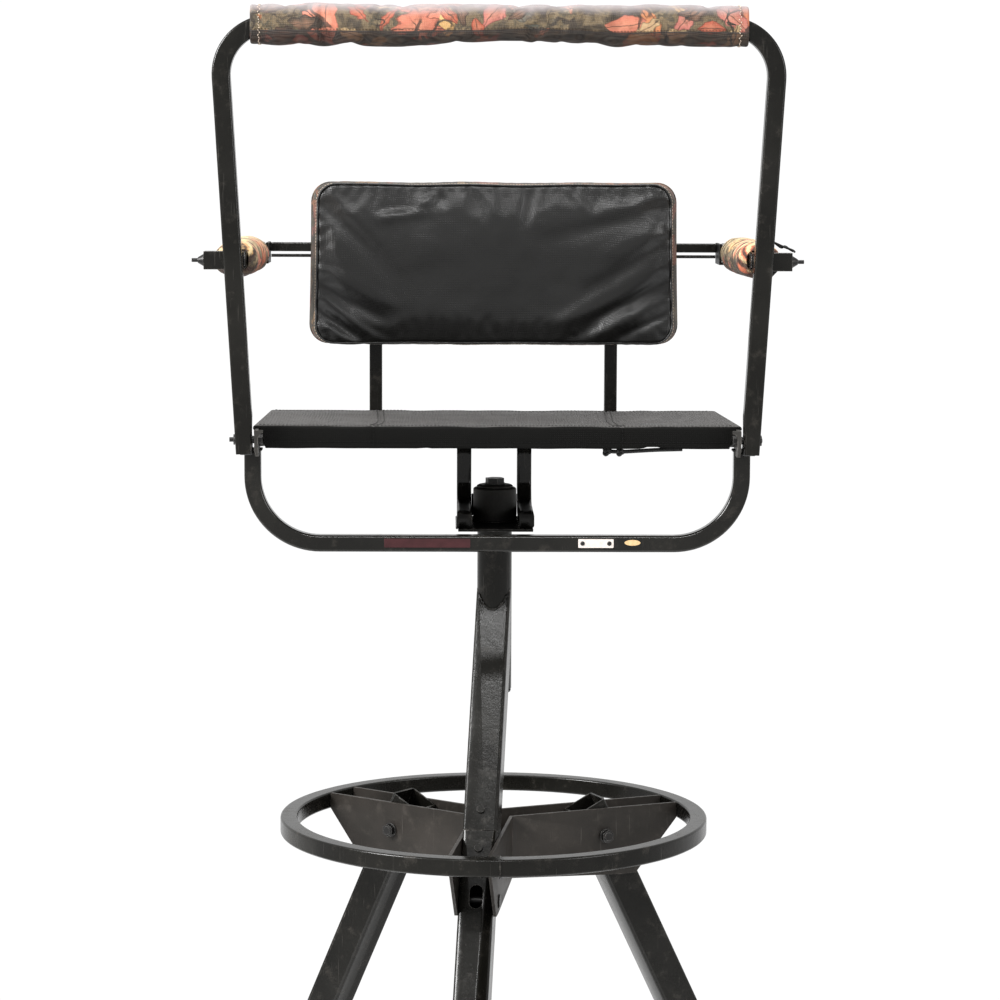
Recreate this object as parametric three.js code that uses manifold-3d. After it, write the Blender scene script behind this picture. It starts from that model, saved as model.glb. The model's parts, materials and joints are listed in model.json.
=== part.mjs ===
// Tripod hunting stand: three splayed legs, a welded hub with a ring foot rest,
// a mast that a leg carries, and a swivelling padded seat with armrests and a
// fold-down shooting rail. Millimetres, +Z up, the seat faces -Y.
import * as THREE from 'three';
import { mergeVertices } from 'three/addons/utils/BufferGeometryUtils.js';
import Module from 'manifold-3d';

const wasm = await Module();
wasm.setup();

// ---------------------------------------------------------------- dimensions
const RING_TOP = 1080;        // ring foot rest, top face above the ground
const MAST_X = -41.67;        // mast axis, from the middle of the footprint
const MAST_Y = 124.21;
const BASE_YAW = 7.4;         // front leg points this far to -X of straight ahead, degrees
const SPLAY = 26.2;           // leg from the vertical, degrees
const LEG_R0 = 113.9;         // leg axis to mast axis, at the ring's top face
const LEG_W = 38.1;           // square leg tube
const LEG_T = 2.0;
const RING_R = 240;           // outer
const RING_W = 19;
const PLATE_IN = 19.4;        // hub cheek plates, inner face to the arm's middle
const PLATE_T = 3.5;
const MAST_RO = 19.3;
const MAST_BOTTOM = 138.4;
const MAST_TOP = 362;
const PLATE_BOTTOM = 329.3;   // swivel base plate
const HOUSING_RO = 24;
const SUPPORT_X = 34;         // seat support tubes
const SUPPORT_W = 16.4;
const SEAT_Z = 450;           // seat cloth, top at the seat's middle
const SEAT_Y = -29.5;
const SEAT_TILT = 1.75;       // front edge higher, degrees
const SEAT_HALF = 257.5;
const SEAT_DEPTH = 337;
const FRAME_W = 19.05;        // seat frame tubes
const POST_X = 136;           // backrest posts
const POST_W = 14.5;
const POST_Y = 152.5;
const HOOP_X = 258;           // front hoop, tube middle
const HOOP_Y = -185.5;
const HOOP_W = 17.5;
const RAIL_Y = -209;          // shooting rail
const RAIL_W = 19;
const RAIL_PIVOT_Z = 441.5;
const RAIL_FOOT_X = 265.3;
const RAIL_TOP_X = 290.6;
const RAIL_TOP_Z = 872;
const ARM_X = 274;            // armrests
const ARM_Z = 628;
const ARM_PIVOT_Y = 165.5;
const ARM_PIVOT_Z = 632;

// ---------------------------------------------------------------- finishes
const finish = (color, roughness, metalness) => new THREE.MeshStandardMaterial({ color, roughness, metalness });
const PAINT = finish(0x2a2927, 0.52, 0.35);
const PAINT_HUB = finish(0x36322f, 0.55, 0.35);
const ZINC = finish(0x3a3a3a, 0.4, 0.8);
const GREY_STEEL = finish(0x6c6b68, 0.45, 0.7);
const NYLON = finish(0xd8d2c2, 0.6, 0.0);
const CAMO = finish(0xb07a4f, 0.9, 0.0);
const BLACK_CLOTH = finish(0x1b1b1b, 0.9, 0.0);
const MESH_CLOTH = finish(0x4c4b49, 0.95, 0.0);
const CORD = finish(0x101010, 0.9, 0.0);

// ---------------------------------------------------------------- helpers
const rad = THREE.MathUtils.degToRad;
const V = (x, y, z) => new THREE.Vector3(x, y, z);
const basis = (o, x, y, z) => new THREE.Matrix4().makeBasis(x, y, z).setPosition(o);
const X = V(1, 0, 0), Y = V(0, 1, 0), Z = V(0, 0, 1);

function add(group, name, geometry, material) {
  const m = new THREE.Mesh(geometry, material);
  m.name = name;
  group.add(m);
  return m;
}

function solid(g) {
  let b = g.index ? g.toNonIndexed() : g.clone();
  b.deleteAttribute('normal');
  b.deleteAttribute('uv');
  b = mergeVertices(b, 1e-3);
  return new wasm.Manifold(new wasm.Mesh({
    numProp: 3,
    vertProperties: new Float32Array(b.attributes.position.array),
    triVerts: new Uint32Array(b.index.array),
  }));
}

function shell(m) {
  const o = m.getMesh();
  const b = new THREE.BufferGeometry();
  b.setAttribute('position', new THREE.BufferAttribute(new Float32Array(o.vertProperties), 3));
  b.setIndex(new THREE.BufferAttribute(new Uint32Array(o.triVerts), 1));
  return b;
}

const join = (...g) => shell(g.map(solid).reduce((a, b) => a.add(b)));
const cut = (g, ...tools) => shell(tools.map(solid).reduce((a, b) => a.subtract(b), solid(g)));

function box(x0, x1, y0, y1, z0, z1) {
  return new THREE.BoxGeometry(x1 - x0, y1 - y0, z1 - z0).translate((x0 + x1) / 2, (y0 + y1) / 2, (z0 + z1) / 2);
}

// cylinder along a direction, from point a to point b
function rod(a, b, r, sides = 16, turn = 0) {
  const d = b.clone().sub(a);
  const g = new THREE.CylinderGeometry(r, r, d.length(), sides, 1).rotateY(turn);
  g.translate(0, d.length() / 2, 0);
  const q = new THREE.Quaternion().setFromUnitVectors(Y, d.clone().normalize());
  return g.applyQuaternion(q).translate(a.x, a.y, a.z);
}

// cone from radius ra at point a to rb at point b
function cone(a, b, ra, rb, sides = 20) {
  const d = b.clone().sub(a);
  const g = new THREE.CylinderGeometry(rb, ra, d.length(), sides, 1);
  g.translate(0, d.length() / 2, 0);
  return g.applyQuaternion(new THREE.Quaternion().setFromUnitVectors(Y, d.clone().normalize())).translate(a.x, a.y, a.z);
}

// hexagon across flats af, from point a to point b
const hex = (a, b, af, turn = 0) => rod(a, b, af / Math.sqrt(3), 6, turn);

// rectangle with round corners as a list of points, n steps to each corner
function roundPoints(w, h, r, n = 2) {
  const p = [];
  [[1, -1, -90], [1, 1, 0], [-1, 1, 90], [-1, -1, 180]].forEach(([i, j, a0]) => {
    for (let k = 0; k <= n; k++) {
      const a = rad(a0 + 90 * k / n);
      p.push(new THREE.Vector2(i * (w / 2 - r) + r * Math.cos(a), j * (h / 2 - r) + r * Math.sin(a)));
    }
  });
  return p;
}
const roundRect = (w, h, r, n = 2) => new THREE.Shape(roundPoints(w, h, r, n));
function round(r, n) {
  const p = [];
  for (let k = 0; k < n; k++) p.push(new THREE.Vector2(r * Math.cos(2 * Math.PI * k / n), r * Math.sin(2 * Math.PI * k / n)));
  return new THREE.Shape(p);
}

function tubeShape(w, h, r, t, n = 2) {
  const s = roundRect(w, h, r, n);
  if (t) {
    const a = w / 2 - t, b = h / 2 - t;
    const p = new THREE.Path([[-a, -b], [-a, b], [a, b], [a, -b]].map((q) => new THREE.Vector2(...q)));
    s.holes.push(p);
  }
  return s;
}

// straight square tube from a to b; side is the direction of its width
function bar(a, b, side, w, h, r, t, n = 2) {
  const z = b.clone().sub(a);
  const len = z.length();
  z.normalize();
  const y = z.clone().cross(side).normalize();
  const x = y.clone().cross(z).normalize();
  const g = new THREE.ExtrudeGeometry(tubeShape(w, h, r, t, n), { depth: len, bevelEnabled: false, steps: 1 });
  return g.applyMatrix4(basis(a, x, y, z));
}

// a path of straight runs and round bends with its stations where they are wanted
class Run extends THREE.Curve {
  constructor(points, tangents) {
    super();
    this.p = points;
    this.t = tangents;
  }
  at(u) { return Math.round(u * (this.p.length - 1)); }
  getPoint(u, target = new THREE.Vector3()) { return target.copy(this.p[this.at(u)]); }
  getPointAt(u, target = new THREE.Vector3()) { return target.copy(this.p[this.at(u)]); }
  getTangentAt(u, target = new THREE.Vector3()) { return target.copy(this.t[this.at(u)]); }
  getTangent(u, target = new THREE.Vector3()) { return target.copy(this.t[this.at(u)]); }
}

function bends(corners, radius, steps) {
  const p = [], t = [];
  const n = corners.length;
  const dir = (i) => corners[i + 1].clone().sub(corners[i]).normalize();
  p.push(corners[0].clone());
  t.push(dir(0));
  for (let i = 1; i < n - 1; i++) {
    const d0 = dir(i - 1), d1 = dir(i);
    const ang = d0.angleTo(d1);
    const axis = d0.clone().cross(d1).normalize();
    const start = corners[i].clone().addScaledVector(d0, -radius * Math.tan(ang / 2));
    const inward = axis.clone().cross(d0).normalize();
    const centre = start.clone().addScaledVector(inward, radius);
    for (let k = 0; k <= steps; k++) {
      const a = ang * k / steps;
      p.push(start.clone().sub(centre).applyAxisAngle(axis, a).add(centre));
      t.push(d0.clone().applyAxisAngle(axis, a));
    }
  }
  p.push(corners[n - 1].clone());
  t.push(dir(n - 2));
  return new Run(p, t);
}

function sweep(run, shape) {
  return new THREE.ExtrudeGeometry(shape, { steps: run.p.length - 1, extrudePath: run, bevelEnabled: false });
}

function lathe(profile, sides = 32) {
  const pts = profile.map(([r, z]) => new THREE.Vector2(r, z));
  return new THREE.LatheGeometry(pts, sides).rotateX(Math.PI / 2);
}

// ---------------------------------------------------------------- groups
const stand = new THREE.Group();
const mastFrame = new THREE.Group();      // origin on the mast axis, at the ring's top face
mastFrame.position.set(MAST_X, MAST_Y, RING_TOP);
stand.add(mastFrame);

const base = new THREE.Group();
base.rotation.z = -rad(BASE_YAW);
mastFrame.add(base);
const arms = [0, -120, 120].map((a) => {
  const g = new THREE.Group();
  g.rotation.z = rad(a);
  base.add(g);
  return g;
});
const armNames = ['front', 'rear_left', 'rear_right'];

// ---------------------------------------------------------------- foot ring
{
  const n = 60, gap = 0.0026, R = RING_R - RING_W / 2;
  const p = [], t = [];
  for (let i = 0; i <= n; i++) {
    const a = -Math.PI / 2 + gap / 2 + (2 * Math.PI - gap) * i / n;
    p.push(V(R * Math.cos(a), R * Math.sin(a), -RING_W / 2));
    t.push(V(-Math.sin(a), Math.cos(a), 0));
  }
  add(base, 'foot_ring', sweep(new Run(p, t), tubeShape(RING_W, RING_W, 2.2, 1.6)), PAINT);
}

// ---------------------------------------------------------------- hub cheek plates
const sx = Math.sin(rad(SPLAY)), cx = Math.cos(rad(SPLAY));
// point on a leg axis, s along it downwards, n out of its outer face, w sideways
const onLeg = (s, n = 0, w = 0) => V(w, -(LEG_R0 + s * sx + n * cx), -s * cx + n * sx);
const BOLT_S = [66 / cx, 32 / cx, 32 / cx];     // pivot bolt down each leg

function cheek(side) {
  const s = new THREE.Shape();
  [[11.2, -0.3], [219.2, -0.3], [219.2, -18], [168, -78], [150, -78.5], [11.2, -71]]
    .forEach(([r, z], i) => (i ? s.lineTo(r, z) : s.moveTo(r, z)));
  s.closePath();
  const g = new THREE.ExtrudeGeometry(s, { depth: PLATE_T, bevelEnabled: false });
  const x0 = side > 0 ? PLATE_IN + PLATE_T : -PLATE_IN;
  return g.applyMatrix4(basis(V(x0, 0, 0), V(0, -1, 0), V(0, 0, 1), V(-1, 0, 0)));
}
function boltHole(k, r) {
  const c = onLeg(BOLT_S[k]);
  return rod(V(-40, c.y, c.z), V(40, c.y, c.z), r, 16);
}
const turn = (g, deg) => g.rotateZ(rad(deg));
// each folded plate lines the two facing sides of neighbouring arms
[['hub_plate_left', 0, 1], ['hub_plate_right', 2, 0], ['hub_plate_rear', 1, 2]].forEach(([name, a, b]) => {
  const angle = [0, -120, 120];
  const g = join(turn(cheek(-1), angle[a]), turn(cheek(1), angle[b]));
  add(base, name, cut(g, turn(boltHole(a, 5.2), angle[a]), turn(boltHole(b, 5.2), angle[b])), PAINT_HUB);
});

// ---------------------------------------------------------------- legs
const GROUND = -RING_TOP;
const FOOT_T = 4;
function leg(sTop, k) {
  const g = bar(onLeg(sTop), onLeg(1250), X, LEG_W, LEG_W, 3.7, LEG_T, 3);
  const below = box(-100, 100, -900, -400, GROUND - 200, GROUND + FOOT_T - 1);
  const tools = [below, boltHole(k, 5.2)];
  if (k === 0) {
    // joint pin holes and the round-ended slot in the outer face
    tools.push(rod(onLeg(19.7, -30), onLeg(19.7, 30), 3.1, 12));
    const s = new THREE.Shape();
    s.absarc(0, 6, 6.95, 0, Math.PI, false);
    s.absarc(0, -6, 6.95, Math.PI, 2 * Math.PI, false);
    const slot = new THREE.ExtrudeGeometry(s, { depth: 14, bevelEnabled: false, curveSegments: 8 });
    slot.applyMatrix4(basis(onLeg(73.5, 10), X, V(0, sx, cx), V(0, -cx, sx)));
    tools.push(slot);
  }
  // welded sole plate with two stake holes
  const r = LEG_R0 + sx / cx * RING_TOP;
  const sole = new THREE.ExtrudeGeometry(roundRect(80, 110, 10, 4), { depth: FOOT_T, bevelEnabled: false }).translate(0, -r - 8, GROUND);
  return cut(join(cut(g, ...tools), sole),
    rod(V(-28, -r - 42, GROUND - 5), V(-28, -r - 42, GROUND + 10), 6, 16),
    rod(V(28, -r - 42, GROUND - 5), V(28, -r - 42, GROUND + 10), 6, 16));
}
const legTop = [0.25, -2.2, -2.2];
arms.forEach((g, k) => {
  const n = armNames[k];
  add(g, `leg_${n}`, leg(legTop[k], k), PAINT);
  // pivot bolt across the two cheeks
  const c = onLeg(BOLT_S[k]);
  const P = (x) => V(x, c.y, c.z);
  add(g, `leg_bolt_${n}`, k === 0 ? join(
    rod(P(-24.2), P(24.2), 4.8, 16),
    rod(P(-24.6), P(-23.2), 7.5, 24),
    rod(P(23.2), P(24.6), 7.5, 24),
  ) : join(
    rod(P(-31), P(31), 4.8, 16),
    rod(P(-24.6), P(-23.2), 8.2, 24), hex(P(-30), P(-24), 13),
    rod(P(23.2), P(24.6), 8.2, 24), hex(P(24), P(30), 13),
  ), ZINC);
});

// climbing rungs on the outer face of the front leg
[['step_rung_upper', 340], ['step_rung_lower', 690]].forEach(([name, s]) => {
  const c = onLeg(s, LEG_W / 2 + 12.8 + 0.3);
  add(arms[0], name, bar(V(-150, c.y, c.z), V(150, c.y, c.z), V(0, sx, cx), 25.4, 25.4, 3, 1.6), PAINT);
});

// ---------------------------------------------------------------- post and mast
{
  const g = bar(onLeg(-0.25), onLeg(-278), X, LEG_W, LEG_W, 3.7, LEG_T, 3);
  const saddle = rod(V(0, 0, 60), V(0, 0, 400), MAST_RO + 0.3, 40);
  const behind = box(-60, 60, 0, 200, 100, 500);
  add(arms[0], 'mast_post', cut(g, saddle, behind, rod(onLeg(-23.7, -30), onLeg(-23.7, 30), 3.1, 12)), PAINT);
  const sl = bar(onLeg(-95), onLeg(45), X, 33.4, 33.4, 2.7, 2.0, 2);
  add(arms[0], 'post_insert', cut(sl,
    rod(onLeg(-23.7, -30), onLeg(-23.7, 30), 3.1, 12),
    rod(onLeg(19.7, -30), onLeg(19.7, 30), 3.1, 12)), PAINT);
  [['post_pin_upper', -23.7], ['post_pin_lower', 19.7]].forEach(([name, s]) => {
    add(arms[0], name, join(
      rod(onLeg(s, -23), onLeg(s, 21), 2.8, 12),
      rod(onLeg(s, 19.3), onLeg(s, 21.6), 4.6, 16),
      hex(onLeg(s, -23), onLeg(s, -19.4), 9)), ZINC);
  });
}
// the mast is closed at its top by a welded plug with the swivel bolt's hole
add(base, 'mast_tube', lathe([[17.3, MAST_BOTTOM + 4], [MAST_RO - 1.2, MAST_BOTTOM + 4], [MAST_RO, MAST_BOTTOM + 5.2], [MAST_RO, MAST_TOP], [4.3, MAST_TOP], [4.3, MAST_TOP - 12], [17.3, MAST_TOP - 12], [17.3, MAST_BOTTOM + 4]], 40), PAINT);
add(base, 'mast_end_cap', lathe([[0, MAST_BOTTOM], [14, MAST_BOTTOM], [18.2, MAST_BOTTOM + 1.2], [19, MAST_BOTTOM + 3.7], [17, MAST_BOTTOM + 3.7], [17, MAST_BOTTOM + 14], [14, MAST_BOTTOM + 14], [14, MAST_BOTTOM + 5], [0, MAST_BOTTOM + 5]], 32), finish(0x161616, 0.6, 0));
add(base, 'swivel_bolt', join(
  rod(V(0, 0, 338), V(0, 0, 375), 4, 16),
  rod(V(0, 0, 373.8), V(0, 0, 375), 11.5, 24),
  hex(V(0, 0, 374.8), V(0, 0, 380.5), 18.5, 0.4),
  hex(V(0, 0, 343), V(0, 0, 349.6), 13)), ZINC);
add(base, 'thrust_washer', lathe([[5, MAST_TOP + 0.3], [19, MAST_TOP + 0.3], [19, MAST_TOP + 3.3], [5, MAST_TOP + 3.3], [5, MAST_TOP + 0.3]], 32), NYLON);

// ---------------------------------------------------------------- swivel
const seat = new THREE.Group();
mastFrame.add(seat);
add(seat, 'swivel_housing', lathe([
  [21.8, PLATE_BOTTOM], [HOUSING_RO, PLATE_BOTTOM], [HOUSING_RO, 368.6], [22.6, 370], [5.2, 370], [5.2, 366], [21.8, 366], [21.8, PLATE_BOTTOM]], 40), PAINT);
add(seat, 'swivel_cap', lathe([[5.2, 370.3], [20.5, 370.3], [20, 372.2], [17.5, 373.4], [5.2, 373.4], [5.2, 370.3]], 32), finish(0x151515, 0.6, 0));
add(seat, 'swivel_bush', lathe([[19.6, 331], [21.5, 331], [21.5, 360], [19.6, 360], [19.6, 331]], 40), NYLON);
add(seat, 'seat_base_plate', cut(box(-41, 41, -80, 46, PLATE_BOTTOM, PLATE_BOTTOM + 3.2), rod(V(0, 0, 300), V(0, 0, 400), HOUSING_RO + 0.3, 40)), PAINT);
const supportZ = PLATE_BOTTOM + 3.5 + SUPPORT_W / 2;
[['seat_support_left', -1], ['seat_support_right', 1]].forEach(([name, s]) => {
  const run = bends([V(s * SUPPORT_X, 60, 424.9), V(s * SUPPORT_X, 60, supportZ), V(s * SUPPORT_X, -76, supportZ)], 33, 7);
  add(seat, name, sweep(run, tubeShape(SUPPORT_W, SUPPORT_W, 3, 1.6)), PAINT);
});

// ---------------------------------------------------------------- seat frame
const deck = new THREE.Group();          // top of the cloth is z = 0 here
deck.position.set(0, SEAT_Y, SEAT_Z);
deck.rotation.x = -rad(SEAT_TILT);
seat.add(deck);
const HW = FRAME_W / 2, FT = -2.8 - HW;   // frame tube middle, under the cloth
const FY = SEAT_DEPTH / 2 - 2.8 - HW;
add(deck, 'seat_front_tube', bar(V(-250.3, -FY, FT), V(250.3, -FY, FT), Y, FRAME_W, FRAME_W, 2.2, 1.5), PAINT);
add(deck, 'seat_rear_tube', bar(V(-254.7, FY, FT), V(254.7, FY, FT), Y, FRAME_W, FRAME_W, 2.2, 1.5), PAINT);
[['seat_side_tube_left', -1], ['seat_side_tube_right', 1]].forEach(([name, s]) => {
  const x = s * (254.7 - HW);
  add(deck, name, bar(V(x, -FY + HW + 0.3, FT), V(x, FY - HW - 0.3, FT), X, FRAME_W, FRAME_W, 2.2, 1.5), PAINT);
});
add(deck, 'seat_cross_tube', bar(V(-235.3, 89.5, FT), V(235.3, 89.5, FT), Y, FRAME_W, FRAME_W, 2.2, 1.5), PAINT);

// cloth seat: one closed sheet over the frame with its hems turned down outside the tubes
{
  const d = SEAT_DEPTH / 2, t = 2.5, h = -24;
  add(deck, 'seat_sling', join(
    box(-SEAT_HALF, SEAT_HALF, -d, d, -t, 0),
    box(-249, 249, -d, -d + t, h, -1),
    box(-SEAT_HALF, SEAT_HALF, d - t, d, h + 2, -1),
    box(-SEAT_HALF, -SEAT_HALF + t, -d + 24, d, h + 2, -1),
    box(SEAT_HALF - t, SEAT_HALF, -d + 24, d, h + 2, -1)), MESH_CLOTH);
}

// ---------------------------------------------------------------- backrest
[['backrest_post_left', -1], ['backrest_post_right', 1]].forEach(([name, s]) => {
  const run = bends([V(s * POST_X, 13.5, 419.1), V(s * POST_X, POST_Y, 414.9), V(s * POST_X, POST_Y, 700)], 14, 6);
  add(seat, name, sweep(run, tubeShape(POST_W, POST_W, 2, 1.4)), PAINT);
});
add(seat, 'backrest_plate', new THREE.ExtrudeGeometry(roundRect(380, 145, 14, 4), { depth: 2.4, bevelEnabled: false })
  .rotateX(Math.PI / 2).translate(0, 144.6, 615), PAINT);
add(seat, 'backrest_cushion', new THREE.ExtrudeGeometry(roundRect(414, 176, 14, 4),
  { depth: 34, bevelEnabled: true, bevelThickness: 5, bevelSize: 5, bevelSegments: 2 })
  .rotateX(Math.PI / 2).translate(0, 136.8, 614.8), BLACK_CLOTH);
add(seat, 'armrest_crossbar', bar(V(-257.7, ARM_PIVOT_Y, ARM_PIVOT_Z), V(257.7, ARM_PIVOT_Y, ARM_PIVOT_Z), Y, 10.4, 10.4, 1.2, 0), PAINT);
add(seat, 'crossbar_rod', rod(V(-257, 162, ARM_PIVOT_Z - 10), V(257, 162, ARM_PIVOT_Z - 10), 1.8, 12), PAINT);

// ---------------------------------------------------------------- front hoop, hinge brackets
{
  const b = 329.9;
  const run = bends([V(-HOOP_X, HOOP_Y, 430), V(-HOOP_X, HOOP_Y, b), V(HOOP_X, HOOP_Y, b), V(HOOP_X, HOOP_Y, 430)], 71, 9);
  add(seat, 'front_hoop', sweep(run, tubeShape(HOOP_W, HOOP_W, 3, 1.6)), PAINT);
}
[['rail_bracket_left', -1], ['rail_bracket_right', 1]].forEach(([name, s]) => {
  const o = new THREE.Shape();
  [[-177.6, 451.6], [-214, 452.6], [-219.5, 447], [-219.5, 430], [-214, 424], [-194.8, 424], [-194.8, 430.4], [-177.6, 430.4]]
    .forEach(([y, z], i) => (i ? o.lineTo(y, z) : o.moveTo(y, z)));
  o.closePath();
  let g = new THREE.ExtrudeGeometry(o, { depth: 3.5, bevelEnabled: false });
  g.applyMatrix4(basis(V(s > 0 ? 250.6 : -254.1, 0, 0), Y, Z, X));
  // flange turned across the front
  const f = new THREE.Shape();
  [[245.4, 452.2], [254.6, 452.2], [254.6, 430], [252.6, 425], [250.9, 425], [250.7, 444], [249.2, 447.8], [245.4, 449.2]]
    .forEach(([x, z], i) => (i ? f.lineTo(s * x, z) : f.moveTo(s * x, z)));
  f.closePath();
  g = join(g, new THREE.ExtrudeGeometry(f, { depth: 3.2, bevelEnabled: false }).applyMatrix4(basis(V(0, -216.4, 0), X, Z, V(0, -1, 0))));
  add(seat, name, cut(g, rod(V(s * 240, RAIL_Y, RAIL_PIVOT_Z), V(s * 260, RAIL_Y, RAIL_PIVOT_Z), 4.3, 16)), GREY_STEEL);
  const P = (x) => V(s * x, RAIL_Y, RAIL_PIVOT_Z);
  add(seat, name.replace('bracket', 'pivot_bolt'), join(
    rod(P(246.4), P(276), 4, 16), hex(P(246.4), P(250.3), 9), rod(P(275.2), P(276.6), 5.6, 20), rod(P(276), P(s < 0 ? 281 : 277.4), 2.4, 16)), ZINC);
});

// ---------------------------------------------------------------- seat lacing
// knotted cord end under the right front of the seat
const LACE = [[113, -186, 429.0], [119, -187, 427.9], [126, -187.6, 427.6], [133, -188, 427.7], [140, -188.2, 428.0], [148, -188.3, 428.5], [158, -188.3, 429.1],
  [168, -188.2, 429.6], [178, -187.9, 429.9], [187, -187.4, 430.1], [195, -186.6, 430.2]].map((p) => V(...p));
{
  const t = LACE.map((p, i) => LACE[Math.min(i + 1, LACE.length - 1)].clone().sub(LACE[Math.max(i - 1, 0)]).normalize());
  add(seat, 'seat_lace', sweep(new Run(LACE, t), round(2.1, 8)), CORD);
}

// ---------------------------------------------------------------- shooting rail
const rail = new THREE.Group();
mastFrame.add(rail);
{
  const slope = (RAIL_TOP_X - RAIL_FOOT_X) / (RAIL_TOP_Z - RAIL_PIVOT_Z);
  const fx = RAIL_FOOT_X - slope * 14.5;
  const run = bends([V(-fx, RAIL_Y, RAIL_PIVOT_Z - 14.5), V(-RAIL_TOP_X, RAIL_Y, RAIL_TOP_Z), V(RAIL_TOP_X, RAIL_Y, RAIL_TOP_Z), V(fx, RAIL_Y, RAIL_PIVOT_Z - 14.5)], 52, 9);
  const g = sweep(run, tubeShape(RAIL_W, RAIL_W, 2.6, 1.5));
  const holes = [-1, 1].map((s) => rod(V(s * 240, RAIL_Y, RAIL_PIVOT_Z), V(s * 290, RAIL_Y, RAIL_PIVOT_Z), 4.3, 16));
  // outer bottom corners taken off the feet
  const corners = [-1, 1].map((s) => {
    const c = new THREE.Shape();
    const x = RAIL_FOOT_X - slope * 14.5 + RAIL_W / 2, z = RAIL_PIVOT_Z - 14.5;
    [[x - 3.2, z - 2], [x + 4, z - 2], [x + 4, z + 12], [x + 0.9, z + 8], [x - 3.2, z - 0.7]].forEach(([a, b], i) => (i ? c.lineTo(s * a, b) : c.moveTo(s * a, b)));
    c.closePath();
    return new THREE.ExtrudeGeometry(c, { depth: 30, bevelEnabled: false }).applyMatrix4(basis(V(0, RAIL_Y + 15, 0), X, Z, V(0, -1, 0)));
  });
  add(rail, 'shooting_rail', cut(g, ...holes, ...corners), PAINT);
  const c = roundRect(38, 43, 13, 4);
  c.holes.push(new THREE.Path(roundPoints(26, 31, 3).map((q) => q.setY(q.y - 1)).reverse()));
  const cover = new THREE.ExtrudeGeometry(c, { depth: 514, bevelEnabled: false })
    .applyMatrix4(basis(V(-257, RAIL_Y, RAIL_TOP_Z - 0.5), Y, Z, X));
  add(rail, 'rail_cover', cover, CAMO);
}

// ---------------------------------------------------------------- armrests
[['left', -1], ['right', 1]].forEach(([n, s]) => {
  const g = new THREE.Group();
  mastFrame.add(g);
  const pivot = (x) => V(s * x, ARM_PIVOT_Y, ARM_PIVOT_Z);
  const tube = bar(V(s * ARM_X, ARM_PIVOT_Y + 12, ARM_Z), V(s * ARM_X, -177.2, ARM_Z), X, 19, 19, 2.4, 1.6);
  add(g, `armrest_tube_${n}`, cut(tube, rod(pivot(250), pivot(300), 3.8, 16)), PAINT);
  const o = roundRect(46, 38, 17, 4);
  o.holes.push(new THREE.Path(roundPoints(20.4, 20.4, 2).reverse()));
  add(g, `armrest_pad_${n}`, new THREE.ExtrudeGeometry(o, { depth: 266, bevelEnabled: false })
    .applyMatrix4(basis(V(s * ARM_X, 98, ARM_Z), X, V(0, 0, 1), V(0, -1, 0))), CAMO);
  // cross block on the front end, behind the rail's upright
  const x0 = s > 0 ? 266.7 : -308, x1 = s > 0 ? 308 : -266.7;
  const by = -187, bw = 9.5;
  let block = box(x0, x1, by - bw, by + bw, ARM_Z - bw, ARM_Z + bw);
  if (s > 0) {
    const t = new THREE.Shape();
    t.moveTo(282, 0.5); t.lineTo(294, 0.5); t.lineTo(286, -8); t.closePath();
    block = join(block, new THREE.ExtrudeGeometry(t, { depth: 4, bevelEnabled: false })
      .applyMatrix4(basis(V(0, by + 2, ARM_Z - bw), X, Z, V(0, -1, 0))));
  }
  const B = (x) => V(s * x, by, ARM_Z);
  add(g, `armrest_block_${n}`, cut(block, rod(B(240), B(330), 4.3, 16)), PAINT);
  add(g, `armrest_block_bolt_${n}`, join(
    rod(B(265.2), B(309), 3.9, 16), rod(B(264.9), B(266.3), 6, 20), cone(B(308.4), B(314.5), 6.6, 2.9), rod(B(313), B(321), 2.1, 16)), ZINC);
  add(seat, `armrest_pivot_bolt_${n}`, join(
    rod(pivot(258), pivot(289), 3.4, 16), hex(pivot(284), pivot(289), 11)), ZINC);
  // stop that the armrest comes down on
  const a = s > 0 ? 258 : -261, b = s > 0 ? 261 : -258;
  const c0 = s > 0 ? 258 : -283, c1 = s > 0 ? 283 : -258;
  add(seat, `armrest_stop_${n}`, cut(join(
    box(a, b, 118, 172, 614, 638),
    box(c0, c1, 118, 132, 614, 617)), rod(pivot(250), pivot(300), 3.8, 16)), PAINT);
  if (s > 0) {
    const q = [[310, -190, 639], [300, -190, 643.6], [290, -190, 648], [287, -189.4, 649.3], [286, -188, 649.8], [286, -186, 649.8], [287, -184.6, 649.3], [290, -184, 648], [300, -184, 643.6], [310, -184, 639]].map((p) => V(...p));
    const t = q.map((p, i) => q[Math.min(i + 1, q.length - 1)].clone().sub(q[Math.max(i - 1, 0)]).normalize());
    add(g, 'hairpin_clip', sweep(new Run(q, t), round(1.1, 6)), GREY_STEEL);
  }
});

export default stand;
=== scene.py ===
import bpy, bmesh, json, math, random
from mathutils import Vector, Matrix, noise


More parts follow.
